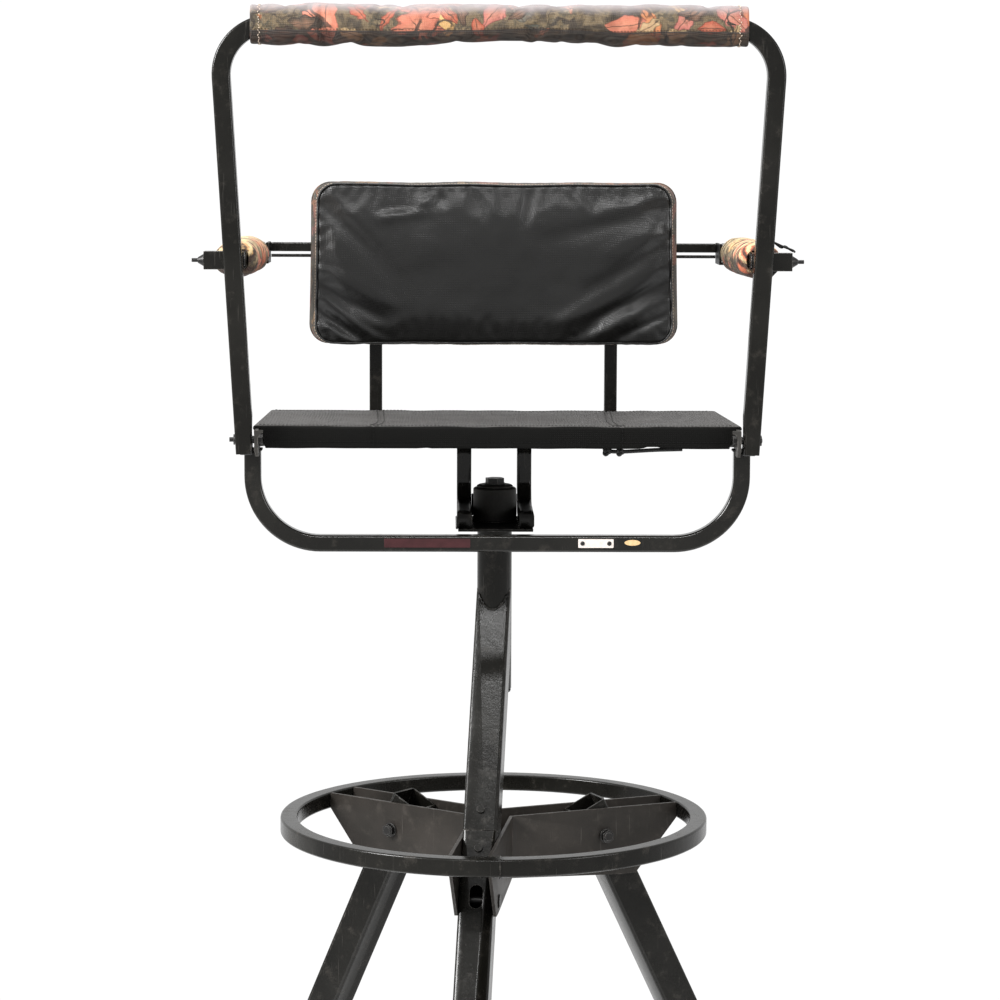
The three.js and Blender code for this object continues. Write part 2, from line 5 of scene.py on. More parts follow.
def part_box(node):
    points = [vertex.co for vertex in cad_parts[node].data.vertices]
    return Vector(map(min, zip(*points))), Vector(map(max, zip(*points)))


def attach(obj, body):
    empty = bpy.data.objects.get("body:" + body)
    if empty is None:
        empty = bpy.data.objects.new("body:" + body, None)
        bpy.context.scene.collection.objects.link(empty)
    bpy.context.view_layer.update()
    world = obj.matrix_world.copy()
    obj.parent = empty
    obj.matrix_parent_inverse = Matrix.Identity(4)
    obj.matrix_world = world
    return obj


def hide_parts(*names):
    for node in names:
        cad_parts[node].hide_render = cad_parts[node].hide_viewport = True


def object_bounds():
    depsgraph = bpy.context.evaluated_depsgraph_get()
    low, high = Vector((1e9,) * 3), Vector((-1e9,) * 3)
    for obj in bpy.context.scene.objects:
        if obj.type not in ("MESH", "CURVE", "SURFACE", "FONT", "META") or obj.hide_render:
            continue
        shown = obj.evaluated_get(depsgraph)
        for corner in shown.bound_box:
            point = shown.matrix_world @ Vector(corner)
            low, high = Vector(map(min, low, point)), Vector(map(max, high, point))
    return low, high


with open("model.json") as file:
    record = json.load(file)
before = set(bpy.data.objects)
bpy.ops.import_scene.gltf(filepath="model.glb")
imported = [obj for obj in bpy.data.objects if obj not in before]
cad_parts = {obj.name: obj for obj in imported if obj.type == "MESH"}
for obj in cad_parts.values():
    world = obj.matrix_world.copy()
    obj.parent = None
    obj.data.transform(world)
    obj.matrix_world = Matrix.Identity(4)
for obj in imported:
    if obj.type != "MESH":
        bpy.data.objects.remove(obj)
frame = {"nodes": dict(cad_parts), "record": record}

cad_box = [[float(c) for c in p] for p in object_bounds()]
sc = bpy.context.scene
REC = frame["record"]
BODY = {n: b for b, ns in REC["behaviour"]["bodies"].items() for n in ns}
SLOT = {s["node"]: s["material_slot"] for s in REC["subparts"]}

# ------------------------------------------------------------------ place in the row frame
lo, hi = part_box("mast_tube")
MX, MY = (lo.x + hi.x) / 2, (lo.y + hi.y) / 2
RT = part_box("foot_ring")[1].z


def P(x, y, z):
    """A point in millimetres from the mast axis and the ring's top face, in the row frame."""
    return Vector((MX + x / 1000, MY + y / 1000, RT + z / 1000))


# ------------------------------------------------------------------ camera
cam_data = bpy.data.cameras.new("camera")
cam_data.sensor_width = 36
cam_data.lens = 36 * 3160.95 / 1000
cam_data.clip_start, cam_data.clip_end = 0.1, 60
cam = bpy.data.objects.new("camera", cam_data)
sc.collection.objects.link(cam)
yaw, pitch, roll = 0.016584, 0.108866, 0.003931
fw = Vector((math.sin(yaw) * math.cos(pitch), math.cos(yaw) * math.cos(pitch), -math.sin(pitch)))
rt = Vector((math.cos(yaw), -math.sin(yaw), 0))
up = rt.cross(fw)
r2 = math.cos(roll) * rt + math.sin(roll) * up
u2 = -math.sin(roll) * rt + math.cos(roll) * up
m = Matrix((r2, u2, -fw)).transposed().to_4x4()
m.translation = P(-52.303, -3508.07, 739.0)
cam.matrix_world = m
sc.camera = cam

# ------------------------------------------------------------------ node helpers
class Mat:
    def __init__(self, name):
        self.m = bpy.data.materials.new(name)
        self.m.use_nodes = True
        self.nt = self.m.node_tree
        self.b = self.nt.nodes["Principled BSDF"]
        self.tc = self.nt.nodes.new("ShaderNodeTexCoord")
        self.co = self.tc.outputs["Object"]

    def link(self, a, b):
        self.nt.links.new(a, b)

    def node(self, kind, **kw):
        n = self.nt.nodes.new("ShaderNode" + kind)
        for k, v in kw.items():
            setattr(n, k, v)
        return n

    def put(self, sock, v):
        if hasattr(v, "is_output") or isinstance(v, bpy.types.NodeSocket):
            self.link(v, sock)
        else:
            sock.default_value = v

    def math(self, op, a, b=0.0, c=None, clamp=False):
        n = self.node("Math", operation=op, use_clamp=clamp)
        self.put(n.inputs[0], a)
        self.put(n.inputs[1], b)
        if c is not None:
            self.put(n.inputs[2], c)
        return n.outputs[0]

    def step(self, v, lo, hi, a=0.0, b=1.0):
        n = self.node("MapRange", interpolation_type="SMOOTHSTEP")
        self.put(n.inputs["Value"], v)
        n.inputs["From Min"].default_value = lo
        n.inputs["From Max"].default_value = hi
        n.inputs["To Min"].default_value = a
        n.inputs["To Max"].default_value = b
        return n.outputs["Result"]

    def noise(self, scale, detail=2.0, rough=0.5, vec=None, distortion=0.0):
        n = self.node("TexNoise")
        self.link(vec or self.co, n.inputs["Vector"])
        n.inputs["Scale"].default_value = scale
        n.inputs["Detail"].default_value = detail
        n.inputs["Roughness"].default_value = rough
        n.inputs["Distortion"].default_value = distortion
        return n

    def mix(self, f, a, b, blend="MIX"):
        n = self.node("Mix", data_type="RGBA", blend_type=blend)
        self.put(n.inputs["Factor"], f)
        self.put(n.inputs["A"], a if not isinstance(a, tuple) else (*a[:3], 1))
        self.put(n.inputs["B"], b if not isinstance(b, tuple) else (*b[:3], 1))
        return n.outputs["Result"]

    def ramp(self, v, stops, kind="LINEAR"):
        n = self.node("ValToRGB")
        n.color_ramp.interpolation = kind
        e = n.color_ramp.elements
        while len(e) > 1:
            e.remove(e[-1])
        e[0].position, e[0].color = stops[0][0], (*stops[0][1], 1)
        for p, c in stops[1:]:
            x = e.new(p)
            x.color = (*c, 1)
        self.put(n.inputs["Fac"], v)
        return n.outputs["Color"]

    def bump(self, h, dist, strength=1.0, normal=None):
        n = self.node("Bump")
        n.inputs["Distance"].default_value = dist
        n.inputs["Strength"].default_value = strength
        self.put(n.inputs["Height"], h)
        if normal is not None:
            self.link(normal, n.inputs["Normal"])
        return n.outputs["Normal"]

    def set(self, **kw):
        for k, v in kw.items():
            self.put(self.b.inputs[k.replace("_", " ")], v)

    def weave(self, pitch, vec=None):
        """Height of a plain weave, threads pitch metres apart along each axis."""
        sep = self.node("SeparateXYZ")
        self.link(vec or self.co, sep.inputs[0])
        k = math.pi / pitch
        s = [self.math("SINE", self.math("MULTIPLY", sep.outputs[i], k)) for i in range(3)]
        a = self.math("MULTIPLY", s[0], s[2])
        b = self.math("MULTIPLY", s[1], self.math("ADD", s[0], s[2]))
        return self.math("ADD", a, b)

    def edges(self, radius, lo, hi):
        """1 on edges, 0 on flats."""
        bev = self.node("Bevel")
        bev.samples = 4
        bev.inputs["Radius"].default_value = radius
        geo = self.node("NewGeometry")
        d = self.node("VectorMath", operation="DOT_PRODUCT")
        self.link(bev.outputs["Normal"], d.inputs[0])
        self.link(geo.outputs["Normal"], d.inputs[1])
        return self.step(d.outputs["Value"], lo, hi, 1.0, 0.0)


def paint(name, base, light, rough=(0.34, 0.52), edge_highlight_strength=0.5, spec=0.26, peel=0.45):
    """Powder coat: orange peel, dust and a painted highlight along the edges."""
    a = Mat(name)
    big = a.noise(9, 4, 0.6).outputs["Fac"]
    fine = a.noise(420, 3, 0.6).outputs["Fac"]
    dust = a.step(a.noise(55, 6, 0.7).outputs["Fac"], 0.52, 0.75)
    edge = a.edges(0.0016, 0.90, 0.995)
    # painted highlight: patches along the edges are lightened towards pale grey and made a little glossier
    edge_highlight = a.math("MULTIPLY", edge, a.step(a.noise(120, 4, 0.7).outputs["Fac"], 0.42, 0.66))
    c = a.mix(a.step(big, 0.35, 0.7), base, light)
    c = a.mix(a.math("MULTIPLY", dust, 0.10), c, (0.16, 0.14, 0.12))
    c = a.mix(a.math("MULTIPLY", edge_highlight, edge_highlight_strength), c, (0.20, 0.185, 0.17))
    scr = a.noise(1, 3, 0.5)
    map_ = a.node("Mapping")
    map_.inputs["Scale"].default_value = (600, 600, 26)
    a.link(a.co, map_.inputs["Vector"])
    a.link(map_.outputs[0], scr.inputs["Vector"])
    streak = a.step(scr.outputs["Fac"], 0.66, 0.74)
    c = a.mix(a.math("MULTIPLY", streak, 0.18), c, (0.13, 0.12, 0.11))
    r = a.math("ADD", a.math("MULTIPLY", big, rough[1] - rough[0]), rough[0])
    r = a.math("ADD", r, a.math("MULTIPLY", dust, 0.12))
    r = a.math("SUBTRACT", r, a.math("MULTIPLY", edge_highlight, 0.08))
    a.set(Base_Color=c, Roughness=r, Metallic=0.0)
    a.b.inputs["Specular IOR Level"].default_value = spec
    h = a.math("ADD", fine, a.math("MULTIPLY", a.noise(140, 2).outputs["Fac"], 1.6))
    a.set(Normal=a.bump(h, 0.00016, peel))
    return a.m


def steel(name, base, rough=(0.28, 0.5), metal=0.85):
    a = Mat(name)
    n = a.noise(160, 5, 0.65).outputs["Fac"]
    rust = a.step(a.noise(70, 5, 0.7).outputs["Fac"], 0.6, 0.74)
    edge = a.edges(0.0008, 0.90, 0.99)
    c = a.mix(n, tuple(x * 0.7 for x in base), tuple(min(1, x * 1.5) for x in base))
    c = a.mix(a.math("MULTIPLY", rust, 0.25), c, (0.09, 0.045, 0.02))
    c = a.mix(a.math("MULTIPLY", edge, 0.35), c, (0.32, 0.31, 0.30))
    a.set(Base_Color=c, Roughness=a.math("ADD", a.math("MULTIPLY", n, rough[1] - rough[0]), rough[0]), Metallic=metal)
    a.set(Normal=a.bump(a.noise(600, 3).outputs["Fac"], 0.00012, 0.6))
    return a.m


def leaves(a, vec, scale, length, width, seed):
    """(mask, colour index, vein) of a scatter of pointed leaves."""
    off = a.node("VectorMath", operation="ADD")
    a.link(vec, off.inputs[0])
    off.inputs[1].default_value = (seed * 1.37, seed * 2.11, seed * 0.73)
    v = a.node("TexVoronoi", feature="F1")
    v.inputs["Scale"].default_value = scale
    v.inputs["Randomness"].default_value = 1.0
    a.link(off.outputs[0], v.inputs["Vector"])
    d = a.node("VectorMath", operation="SUBTRACT")
    a.link(off.outputs[0], d.inputs[0])
    a.link(v.outputs["Position"], d.inputs[1])
    ang = a.node("VectorMath", operation="SCALE")
    a.link(v.outputs["Color"], ang.inputs[0])
    ang.inputs["Scale"].default_value = 6.283
    rot = a.node("VectorRotate", rotation_type="EULER_XYZ")
    a.link(d.outputs[0], rot.inputs["Vector"])
    a.link(ang.outputs[0], rot.inputs["Rotation"])
    s = a.node("SeparateXYZ")
    a.link(rot.outputs[0], s.inputs[0])
    x = a.math("ABSOLUTE", s.outputs[0])
    y = a.math("ABSOLUTE", s.outputs[1])
    z = a.math("ABSOLUTE", s.outputs[2])
    # saw-toothed lobes along the leaf
    lobe = a.math("MULTIPLY", a.math("PINGPONG", x, length * 0.17), 0.55)
    body = a.math("MULTIPLY", a.math("SUBTRACT", 1.0, a.math("POWER", a.math("DIVIDE", x, length), 1.6), clamp=True), width)
    r = a.math("SUBTRACT", a.math("ADD", body, lobe), a.math("ADD", y, a.math("MULTIPLY", z, 0.35)))
    r = a.math("MULTIPLY", r, a.math("LESS_THAN", x, length))
    mask = a.step(r, 0.0, 0.0007)
    rim = a.math("MULTIPLY", mask, a.step(r, 0.0002, 0.0016, 1.0, 0.0))
    vein = a.math("MULTIPLY", mask, a.step(y, 0.0, 0.0008, 1.0, 0.0))
    sc_ = a.node("SeparateColor")
    a.link(v.outputs["Color"], sc_.inputs[0])
    return mask, sc_.outputs[0], a.math("MAXIMUM", rim, vein), r


def camo(name, bright=1.0, fold=False, painted_light_band=None):
    """Printed autumn-leaf camouflage on a brushed weave."""
    a = Mat(name)
    warp = a.noise(60, 3, 0.6)
    w = a.node("VectorMath", operation="SUBTRACT")
    a.link(warp.outputs["Color"], w.inputs[0])
    w.inputs[1].default_value = (0.5, 0.5, 0.5)
    ws = a.node("VectorMath", operation="SCALE")
    a.link(w.outputs[0], ws.inputs[0])
    ws.inputs["Scale"].default_value = 0.007
    wv = a.node("VectorMath", operation="ADD")
    a.link(a.co, wv.inputs[0])
    a.link(ws.outputs[0], wv.inputs[1])
    vec = wv.outputs[0]
    # bark and grass ground
    g = a.noise(34, 6, 0.68, vec).outputs["Fac"]
    c = a.ramp(g, [(0.30, (0.016, 0.012, 0.010)), (0.42, (0.065, 0.048, 0.030)), (0.50, (0.17, 0.125, 0.070)),
                   (0.57, (0.055, 0.048, 0.034)), (0.66, (0.30, 0.225, 0.13)), (0.80, (0.040, 0.030, 0.022))])
    warm = [(0.0, (0.62, 0.17, 0.055)), (0.18, (0.70, 0.26, 0.16)), (0.36, (0.74, 0.48, 0.20)), (0.5, (0.66, 0.22, 0.13)),
            (0.64, (0.50, 0.33, 0.17)), (0.78, (0.72, 0.33, 0.12)), (0.9, (0.26, 0.085, 0.04))]
    for scale, L, W, seed, stops in (
        (17, 0.044, 0.0165, 1.0, [(0.0, (0.50, 0.13, 0.06)), (0.2, (0.60, 0.20, 0.13)), (0.4, (0.56, 0.36, 0.14)), (0.55, (0.10, 0.09, 0.065)), (0.7, (0.33, 0.23, 0.13)), (0.85, (0.60, 0.24, 0.10))]),
        (24, 0.031, 0.0105, 4.2, [(0.0, (0.52, 0.17, 0.11)), (0.25, (0.035, 0.028, 0.020)), (0.45, (0.56, 0.33, 0.13)), (0.62, (0.10, 0.115, 0.095)), (0.8, (0.46, 0.16, 0.13))]),
        (33, 0.021, 0.0062, 7.7, [(0.0, (0.62, 0.27, 0.16)), (0.3, (0.035, 0.028, 0.022)), (0.6, (0.50, 0.37, 0.20)), (0.8, (0.40, 0.09, 0.05))]),
    ):
        mask, idx, lines, r = leaves(a, vec, scale, L, W, seed)
        leaf = a.ramp(idx, stops, "CONSTANT")
        leaf = a.mix(a.math("MULTIPLY", a.step(r, 0.0, W * 0.9), 0.30), leaf, (0.66, 0.36, 0.22))
        leaf = a.mix(a.math("MULTIPLY", a.step(a.noise(150, 3, 0.6, vec).outputs["Fac"], 0.4, 0.7), 0.35), leaf, (0.16, 0.06, 0.03))
        c = a.mix(mask, c, leaf)
        c = a.mix(a.math("MULTIPLY", lines, 0.80), c, (0.022, 0.011, 0.007))
    # twigs
    for scale, width, seed in ((20, 0.022, 0.0), (34, 0.018, 5.0)):
        off = a.node("VectorMath", operation="ADD")
        a.link(vec, off.inputs[0])
        off.inputs[1].default_value = (seed, seed * 0.5, -seed)
        n = a.noise(scale, 2, 0.45, off.outputs[0]).outputs["Fac"]
        t = a.step(a.math("ABSOLUTE", a.math("SUBTRACT", n, 0.5)), width * 0.45, width, 1.0, 0.0)
        t = a.math("MULTIPLY", t, a.step(a.noise(22, 2, 0.5, vec).outputs["Fac"], 0.46, 0.54))
        c = a.mix(a.math("MULTIPLY", t, 0.85), c, (0.028, 0.02, 0.015))
    if bright != 1.0:
        c = a.mix(1.0, c, (bright, bright, bright), "MULTIPLY")
    if painted_light_band:
        # painted light: the top is washed pale as a painted highlight, the strip under the seam is darkened as painted
        # shade, and a dark painted shadow line runs along the seam
        sp = a.node("SeparateXYZ")
        a.link(a.co, sp.inputs[0])
        wob = a.math("MULTIPLY", a.math("SUBTRACT", a.noise(26, 3).outputs["Fac"], 0.5), 0.010)
        h = a.math("ADD", sp.outputs[2], wob)
        c = a.mix(a.step(h, painted_light_band[1], painted_light_band[2], 0.0, 0.88), c, (0.205, 0.185, 0.188))
        low = a.mix(1.0, c, (0.17, 0.125, 0.112), "MULTIPLY")
        below = a.node("Attribute", attribute_name="below")
        c = a.mix(a.step(below.outputs["Fac"], 0.42, 0.58), c, low)
        line = a.step(a.math("ABSOLUTE", a.math("SUBTRACT", below.outputs["Fac"], 0.62)), 0.06, 0.20, 0.85, 0.0)
        c = a.mix(line, c, (0.010, 0.007, 0.006))
    if fold:
        # painted light on the gathers: dark painted shade in the troughs and on the underside, a pale cream painted
        # highlight on the crests and the top
        f = a.node("Attribute", attribute_name="fold")
        c = a.mix(a.step(f.outputs["Fac"], 0.16, 0.68, 0.94, 0.0), c, (0.026, 0.012, 0.009))
        c = a.mix(a.step(f.outputs["Fac"], 0.70, 1.0, 0.0, 0.62), c, (0.60, 0.47, 0.27))
    wv_ = a.weave(0.0009)
    fz = a.noise(700, 3, 0.6).outputs["Fac"]
    c = a.mix(a.math("MULTIPLY", a.step(wv_, -0.6, 0.9), 0.045), c, (0.9, 0.8, 0.7))
    a.set(Base_Color=c, Roughness=a.math("ADD", 0.62, a.math("MULTIPLY", fz, 0.22)))
    a.b.inputs["Sheen Weight"].default_value = 0.06
    a.b.inputs["Sheen Roughness"].default_value = 0.4
    a.b.inputs["Specular IOR Level"].default_value = 0.35
    crease = a.noise(38, 3, 0.55).outputs["Fac"]
    n1 = a.bump(crease, 0.004, 0.35)
    a.set(Normal=a.bump(a.math("ADD", wv_, fz), 0.00016, 0.7, n1))
    return a.m


def cloth_mat(name, dark, light, pitch, rough, sheen, spec, depth=0.0003, crease=0.3, crease_scale=30):
    a = Mat(name)
    wv = a.weave(pitch)
    fz = a.noise(600, 4, 0.65).outputs["Fac"]
    big = a.noise(12, 4, 0.6).outputs["Fac"]
    c = a.mix(a.math("MULTIPLY", a.step(wv, -1.0, 1.2), 0.8), dark, light)
    c = a.mix(a.math("MULTIPLY", a.step(big, 0.4, 0.75), 0.25), c, light)
    c = a.mix(a.math("MULTIPLY", a.step(fz, 0.58, 0.75), 0.18), c, tuple(min(1, x * 2.6) for x in light))
    a.set(Base_Color=c, Roughness=a.math("ADD", rough, a.math("MULTIPLY", a.math("SUBTRACT", big, 0.5), 0.25)))
    a.b.inputs["Sheen Weight"].default_value = sheen
    a.b.inputs["Sheen Roughness"].default_value = 0.35
    a.b.inputs["Specular IOR Level"].default_value = spec
    n1 = a.bump(a.noise(crease_scale, 3, 0.5).outputs["Fac"], 0.005, crease)
    a.set(Normal=a.bump(a.math("ADD", wv, a.math("MULTIPLY", fz, 0.7)), depth, 0.8, n1))
    return a.m


def plain(name, dark, light, rough, scale=300, bump=0.0002, spec=0.5, metal=0.0):
    a = Mat(name)
    n = a.noise(scale, 4, 0.6).outputs["Fac"]
    a.set(Base_Color=a.mix(n, dark, light), Roughness=a.math("ADD", rough - 0.08, a.math("MULTIPLY", n, 0.16)), Metallic=metal)
    a.b.inputs["Specular IOR Level"].default_value = spec
    a.set(Normal=a.bump(n, bump, 0.5))
    return a.m


PAINT = paint("powder_coat", (0.0056, 0.0053, 0.0044), (0.0105, 0.0100, 0.0085), rough=(0.15, 0.30))
PAINTG = paint("powder_coat_bend", (0.0060, 0.0057, 0.0048), (0.0110, 0.0105, 0.0090), rough=(0.10, 0.20), spec=0.34, peel=0.10)
# painted shade: a darker, duller copy of the frame paint for pieces that sit in shade
PAINT_SHADE = paint("powder_coat_painted_shade", (0.0022, 0.0021, 0.0018), (0.0050, 0.0047, 0.0040), rough=(0.35, 0.5), spec=0.18)
HUBP = paint("powder_coat_hub", (0.0150, 0.0132, 0.0112), (0.0260, 0.0222, 0.0190), rough=(0.36, 0.55), edge_highlight_strength=0.35)
HARD = steel("black_oxide", (0.018, 0.0175, 0.017), metal=0.55)
PAINTM = paint("powder_coat_housing", (0.0105, 0.0098, 0.0083), (0.0165, 0.0155, 0.0135), rough=(0.50, 0.64), spec=0.30)
GREY = paint("grey_powder_coat", (0.020, 0.0192, 0.0175), (0.048, 0.046, 0.043), rough=(0.4, 0.6), edge_highlight_strength=0.6)
NYLON = plain("natural_nylon", (0.62, 0.58, 0.50), (0.74, 0.70, 0.62), 0.45)
BLACKP = plain("black_plastic", (0.010, 0.010, 0.010), (0.018, 0.018, 0.018), 0.5)
CAMO = camo("leaf_print")
BLACKC = cloth_mat("black_polyester", (0.0035, 0.0034, 0.0031), (0.0105, 0.0103, 0.0098), 0.0010, 0.34, 0.03, 0.50, 0.00005, 0.26, 20)
SEATC = cloth_mat("seat_mesh", (0.022, 0.0205, 0.0190), (0.054, 0.0500, 0.0465), 0.0016, 0.60, 0.06, 0.30, 0.0005, 0.08, 16)
BANDC = cloth_mat("seat_band", (0.0020, 0.0020, 0.0017), (0.0050, 0.0048, 0.0042), 0.0011, 0.60, 0.0, 0.12, 0.00012, 0.10, 18)
LACEM = cloth_mat("braided_lace", (0.006, 0.006, 0.006), (0.016, 0.016, 0.016), 0.0008, 0.55, 0.15, 0.4, 0.0002, 0.1)
THREAD = plain("thread_black", (0.003, 0.003, 0.003), (0.010, 0.010, 0.010), 0.7, 900, spec=0.15)
THREADT = plain("thread_tan", (0.34, 0.27, 0.21), (0.56, 0.47, 0.38), 0.65, 900)
# dark brown thread, kept dark so the rail cover's seam carries a painted shadow line
THREAD_SEAM_SHADE = plain("thread_brown_seam_shade", (0.020, 0.012, 0.009), (0.050, 0.032, 0.024), 0.7, 900, spec=0.15)
THREADS = plain("thread_grey", (0.014, 0.013, 0.012), (0.026, 0.025, 0.024), 0.7, 900, spec=0.15)
THREADW = plain("thread_pale", (0.55, 0.47, 0.42), (0.80, 0.72, 0.66), 0.6, 900)
LABELR = plain("label_red", (0.022, 0.008, 0.0085), (0.052, 0.016, 0.018), 0.5, 120, spec=0.25)
LABELW = plain("label_white", (0.34, 0.30, 0.28), (0.60, 0.56, 0.52), 0.38, 300)
LABELT = plain("label_tan", (0.34, 0.22, 0.10), (0.56, 0.42, 0.24), 0.4, 300)
MATS = {"frame_paint": PAINT, "hub_paint": HUBP, "hardware": HARD, "bracket_steel": GREY, "nylon": NYLON,
        "black_plastic": BLACKP, "camo_fabric": CAMO, "black_fabric": BLACKC, "seat_fabric": SEATC, "cord_fabric": LACEM}


# ------------------------------------------------------------------ mesh helpers
def make(name, verts, faces, mat, smooth=True, fix=True):
    me = bpy.data.meshes.new(name)
    me.from_pydata([tuple(v) for v in verts], [], faces)
    if fix:
        bm = bmesh.new()
        bm.from_mesh(me)
        bmesh.ops.recalc_face_normals(bm, faces=bm.faces)
        bm.to_mesh(me)
        bm.free()
    me.polygons.foreach_set("use_smooth", [smooth] * len(me.polygons))
    ob = bpy.data.objects.new(name, me)
    sc.collection.objects.link(ob)
    for x in (mat if isinstance(mat, (list, tuple)) else [mat]):
        me.materials.append(x)
    return ob


def weighted(ob):
    w = ob.modifiers.new("normals", "WEIGHTED_NORMAL")
    w.keep_sharp = True
    w.weight = 80
    return ob


def settle(ob, body, slot=None, *nodes):
    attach(ob, body)
    if nodes:
        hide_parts(*nodes)
    return ob


def cad_copy(node, width=0.0005, segments=2, mat=None, angle=28):
    """A finished copy of a CAD piece: merged faces, rounded edges, smooth round parts."""
    src = frame["nodes"][node]
    bm = bmesh.new()
    bm.from_mesh(src.data)
    bmesh.ops.remove_doubles(bm, verts=bm.verts, dist=2e-6)
    bmesh.ops.dissolve_limit(bm, angle_limit=math.radians(0.6), verts=bm.verts, edges=bm.edges)
    bmesh.ops.recalc_face_normals(bm, faces=bm.faces)
    me = bpy.data.meshes.new(node + "_piece")
    bm.to_mesh(me)
    bm.free()
    me.polygons.foreach_set("use_smooth", [True] * len(me.polygons))
    me.set_sharp_from_angle(angle=math.radians(angle))
    ob = bpy.data.objects.new(node + "_piece", me)
    sc.collection.objects.link(ob)
    me.materials.append(mat or MATS[SLOT[node]])
    if width:
        b = ob.modifiers.new("edge", "BEVEL")
        b.width = width
        b.segments = segments
        b.limit_method = "ANGLE"
        b.angle_limit = math.radians(angle)
        b.harden_normals = True
        b.use_clamp_overlap = True
    return settle(ob, BODY[node], SLOT[node], node)


OUT = -1


def round_points(w, h, r, n):
    p = []
    for i, j, a0 in ((1, -1, -90), (1, 1, 0), (-1, 1, 90), (-1, -1, 180)):
        for k in range(n + 1):
            a = math.radians(a0 + 90 * k / n)
            p.append((i * (w / 2 - r) + r * math.cos(a), j * (h / 2 - r) + r * math.sin(a)))
    return p


def bend_path(corners, radius, steps):
    cs = [Vector(c) for c in corners]
    out = [(cs[0], (cs[1] - cs[0]).normalized())]
    for i in range(1, len(cs) - 1):
        d0, d1 = (cs[i] - cs[i - 1]).normalized(), (cs[i + 1] - cs[i]).normalized()
        ang = d0.angle(d1)
        axis = d0.cross(d1).normalized()
        start = cs[i] - d0 * radius * math.tan(ang / 2)
        centre = start + axis.cross(d0).normalized() * radius
        for k in range(steps + 1):
            q = Matrix.Rotation(ang * k / steps, 3, axis)
            out.append((q @ (start - centre) + centre, q @ d0))
    out.append((cs[-1], (cs[-1] - cs[-2]).normalized()))
    return out


def fill_long(path, most):
    out = [path[0]]
    for (p0, t0), (p1, t1) in zip(path, path[1:]):
        n = max(1, int(math.ceil((p1 - p0).length / most)))
        for k in range(1, n):
            out.append((p0.lerp(p1, k / n), t0.lerp(t1, k / n).normalized()))
        out.append((p1, t1))
    return out


def tube(name, path, plane, w, h, r, wall, mat, n=5, closed=False, most=40, jig=0.0, cap=False, feet=0.0):
    """Square tube with round corners swept along a planar path. Millimetres from the mast."""
    if not closed:
        path = fill_long(path, most)
    a = Vector(plane).normalized()
    outer, inner = round_points(w, h, r, n), round_points(w - 2 * wall, h - 2 * wall, max(0.4, r - wall), n)
    verts, faces = [], []
    k = len(outer)
    for s, (p, t) in enumerate(path):
        b = t.cross(a).normalized()
        for u, v in outer:
            if feet:
                d = min((p - path[0][0]).length, (p - path[-1][0]).length)
                if d < 8:
                    u, v = u, v - math.copysign(feet * (1 - d / 8) * (abs(v) / (h / 2)), v) if v * OUT > 0 else v
            q = p + a * u + b * v
            if jig:
                nz = noise.noise(q * 0.02)
                q = q + (a * u + b * v).normalized() * nz * jig
            verts.append(P(*q))
    S = len(path)
    for s in range(S if closed else S - 1):
        t = (s + 1) % S
        for i in range(k):
            j = (i + 1) % k
            faces.append((s * k + i, s * k + j, t * k + j, t * k + i))
    if cap:
        faces += [tuple(range(k)), tuple((S - 1) * k + i for i in range(k))]
    elif not closed:
        base = len(verts)
        for s, (p, t) in enumerate(path):
            b = t.cross(a).normalized()
            for u, v in inner:
                verts.append(P(*(p + a * u + b * v)))
        for s in range(S - 1):
            for i in range(k):
                j = (i + 1) % k
                faces.append((base + s * k + j, base + s * k + i, base + (s + 1) * k + i, base + (s + 1) * k + j))
        for s in (0, S - 1):
            for i in range(k):
                j = (i + 1) % k
                faces.append((s * k + i, s * k + j, base + s * k + j, base + s * k + i))
    return weighted(make(name, verts, faces, mat))


def bead(name, pts, r, mat, body, cyclic=False, seed=1, slot="frame_paint"):
    """A weld bead: overlapping ripples along a line of points in millimetres from the mast."""
    rnd = random.Random(seed)
    line = [Vector(p) for p in pts]
    if cyclic:
        line.append(line[0])
    dense = []
    for p0, p1 in zip(line, line[1:]):
        n = max(1, int((p1 - p0).length / 1.1))
        for k in range(n):
            dense.append(p0.lerp(p1, k / n))
    if not cyclic:
        dense.append(line[-1])
    verts, faces, k = [], [], 8
    N = len(dense)
    phase = 0.0
    for s in range(N):
        q0, q1 = dense[max(0, s - 1)], dense[min(N - 1, s + 1)]
        if cyclic:
            q0, q1 = dense[s - 1], dense[(s + 1) % N]
        t = (q1 - q0).normalized()
        a = t.orthogonal().normalized() if abs(t.z) > 0.95 else Vector((0, 0, 1)).cross(t).normalized()
        b = t.cross(a)
        rr = r * (1 + 0.16 * math.sin(s * 1.9) + rnd.uniform(-0.08, 0.08))
        if not cyclic and s in (0, N - 1):
            rr *= 0.35
        for i in range(k):
            ang = 2 * math.pi * i / k
            verts.append(P(*(dense[s] + (a * math.cos(ang) + b * math.sin(ang)) * rr)))
    for s in range(N if cyclic else N - 1):
        t = (s + 1) % N
        for i in range(k):
            j = (i + 1) % k
            faces.append((s * k + i, s * k + j, t * k + j, t * k + i))
    if not cyclic:
        faces.append(tuple(range(k)))
        faces.append(tuple((N - 1) * k + i for i in range(k)))
    return settle(make(name, verts, faces, mat), body, slot)


